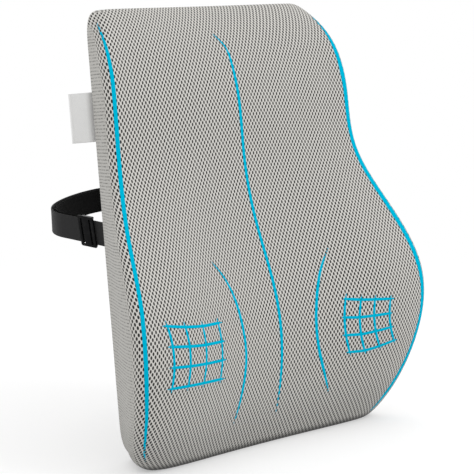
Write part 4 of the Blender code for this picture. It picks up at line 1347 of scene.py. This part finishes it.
def lattice_lines(skin, top, bottom, bow):
    """The lines of a lattice between its top and bottom knots, bowed sideways in its middle."""
    top, bottom = np.array(top), np.array(bottom)
    for a, b in zip(top, bottom):
        share = np.linspace(-0.10, 1.08, 24)[:, None]
        line = a + (b - a) * share
        line[:, 0] += bow * 4.0 * share[:, 0] * (1.0 - share[:, 0])
        yield skin.front_line(line), 0.0032
    for v in (0.0, 1.0 / 3.0, 2.0 / 3.0, 1.0):
        row = top + (bottom - top) * v
        row[:, 0] += bow * 4.0 * v * (1.0 - v)
        before = row[0] - (row[1] - row[0]) * 0.30
        after = row[-1] + (row[-1] - row[-2]) * 0.28
        yield skin.front_line(knot_curve([before, *row, after])), 0.0031


def build_contours(around, skin):
    """The blue lines: down both edges and the spine, round the waist, and a lattice on each hip."""
    finish = film_finish("contour_film")

    def long_line(name, line, width, head, tail):
        film = Film(skin)
        film.add_stroke(line, width, head, tail, LINE_END_SHARE)
        film.build("contour_" + name, "contour_line_" + name, finish)

    # Each edge line: column, last row, bend near the top, dent at the hips, lean at the foot and the
    # row where that starts, then the line's width and the length of its tail.
    edges = (
        ("edge_left", (-3.80, 0.9, 0.30, 0.09, 0.08, 2.2), 0.0046, 0.11),
        ("edge_right", (3.60, 0.65, 0.05, 0.0, -0.23, 3.0), 0.0078, 0.03),
    )
    for name, shape, width, tail in edges:
        long_line(name, edge_line(around, *shape), width, 0.075, tail)
    spine = [(-SPINE_HOOK * max(0.0, z - SPINE_HOOK_HEIGHT) ** 2, z) for z in np.linspace(0.420, 0.026, 60)]
    long_line("spine", skin.front_line(spine), 0.0042, 0.06, 0.08)
    waists = (
        ("waist_left", ((-0.086, 0.194), (-0.074, 0.178), (-0.066, 0.160), (-0.060, 0.132), (-0.056, 0.094),
                        (-0.060, 0.055), (-0.065, 0.027))),
        ("waist_right", ((0.086, 0.190), (0.073, 0.175), (0.063, 0.160), (0.054, 0.137), (0.050, 0.110),
                         (0.055, 0.080), (0.074, 0.036))),
    )
    for name, knots in waists:
        long_line(name, skin.front_line(knot_curve(knots)), 0.0040, 0.05, 0.04)
    lattices = (
        ("left", ((-0.178, 0.143), (-0.154, 0.139), (-0.127, 0.136), (-0.100, 0.135)),
         ((-0.173, 0.082), (-0.151, 0.081), (-0.127, 0.080), (-0.099, 0.079)), 0.0028),
        ("right", ((0.091, 0.134), (0.110, 0.131), (0.128, 0.129), (0.149, 0.127)),
         ((0.095, 0.077), (0.115, 0.076), (0.135, 0.078), (0.156, 0.081)), -0.0055),
    )
    for which, top, bottom, bow in lattices:
        film = Film(skin)
        for line, width in lattice_lines(skin, top, bottom, bow):
            film.add_stroke(line, width, LATTICE_END, LATTICE_END, LATTICE_END_SHARE)
        film.build("contour_lattice_" + which, "contour_grid_" + which, finish)


# ---------------------------------------------------------------- stage


def build_stage():
    """A white floor that glows at a distance, a white world and three lights."""
    finish, shader, n = new_material("floor_white", 0.6, specular=0.0)
    far = n.ramp(n.vector("LENGTH", n.position()), 0.40, 1.3, 0.35, 1.0)
    seen = n.add("ShaderNodeLightPath").outputs["Is Camera Ray"]
    n.link(n.mix(seen, FLOOR_SHADE, FLOOR_SEEN), shader.inputs["Base Color"])
    blend = n.add("ShaderNodeMixShader")
    n.fill(blend, (far, shader.outputs[0], n.add("ShaderNodeEmission").outputs[0]))
    n.link(blend.outputs[0], n.tree.nodes["Material Output"].inputs["Surface"])
    ends = (-FLOOR_SIZE, FLOOR_SIZE)
    new_object("floor", [(x, y, -FLOOR_DROP) for y in ends for x in ends], grid_faces(2, 2), finish)
    world = bpy.data.worlds.new("studio")
    bpy.context.scene.world = world
    world.use_nodes = True
    background = world.node_tree.nodes["Background"]
    background.inputs["Color"].default_value = (1.0, 1.0, 1.0, 1.0)
    background.inputs["Strength"].default_value = 1.0
    for name, place, width, power in LIGHTS:
        data = bpy.data.lights.new(name, "AREA")
        data.size = width
        data.energy = power
        lamp = linked(name, data)
        lamp.location = place
        lamp.rotation_mode = "QUATERNION"
        lamp.rotation_quaternion = (Vector(LIGHT_AIM) - Vector(place)).to_track_quat("-Z", "Y")
    bpy.context.scene.view_settings.view_transform = "Standard"


def build_camera():
    forward = Vector((math.sin(VIEW_TURN) * math.cos(VIEW_DROP), math.cos(VIEW_TURN) * math.cos(VIEW_DROP),
                      -math.sin(VIEW_DROP)))
    level = Vector((math.cos(VIEW_TURN), -math.sin(VIEW_TURN), 0.0))
    upright = level.cross(forward)
    right = level * math.cos(VIEW_ROLL) + upright * math.sin(VIEW_ROLL)
    up = upright * math.cos(VIEW_ROLL) - level * math.sin(VIEW_ROLL)
    data = bpy.data.cameras.new("camera")
    data.lens = LENS
    data.sensor_width = SENSOR_WIDTH
    data.clip_start = 0.05
    data.clip_end = 60.0
    camera = linked("camera", data)
    turn = Matrix((right, up, -forward)).transposed().to_4x4()
    camera.matrix_world = Matrix.Translation(Vector(VIEW_AIM) - forward * VIEW_DISTANCE) @ turn
    bpy.context.scene.camera = camera


AROUND, SKIN = build_cover()
build_insides()
build_panels()
build_tapes()
build_teeth()
METAL = plated("zip_plating", ZIP_METAL, 0.28)
dress_node("zipper_slider", METAL, 0.00035, 3)
dress_node("zipper_pull_tab", METAL, 0.00030, 3)
dress_node("zipper_stop_closed_end", METAL)
dress_node("zipper_stop_open_end", METAL)
build_strap()
PLASTIC = moulded("moulded_black", PLASTIC_BLACK, 0.18)
build_adjuster(PLASTIC)
dress_node("buckle_socket", PLASTIC, 0.0007, 3)
dress_node("buckle_plug", PLASTIC, 0.0005, 2)
build_label()
build_contours(AROUND, SKIN)
build_stitches()
build_stage()
build_camera()

bpy.context.view_layer.update()
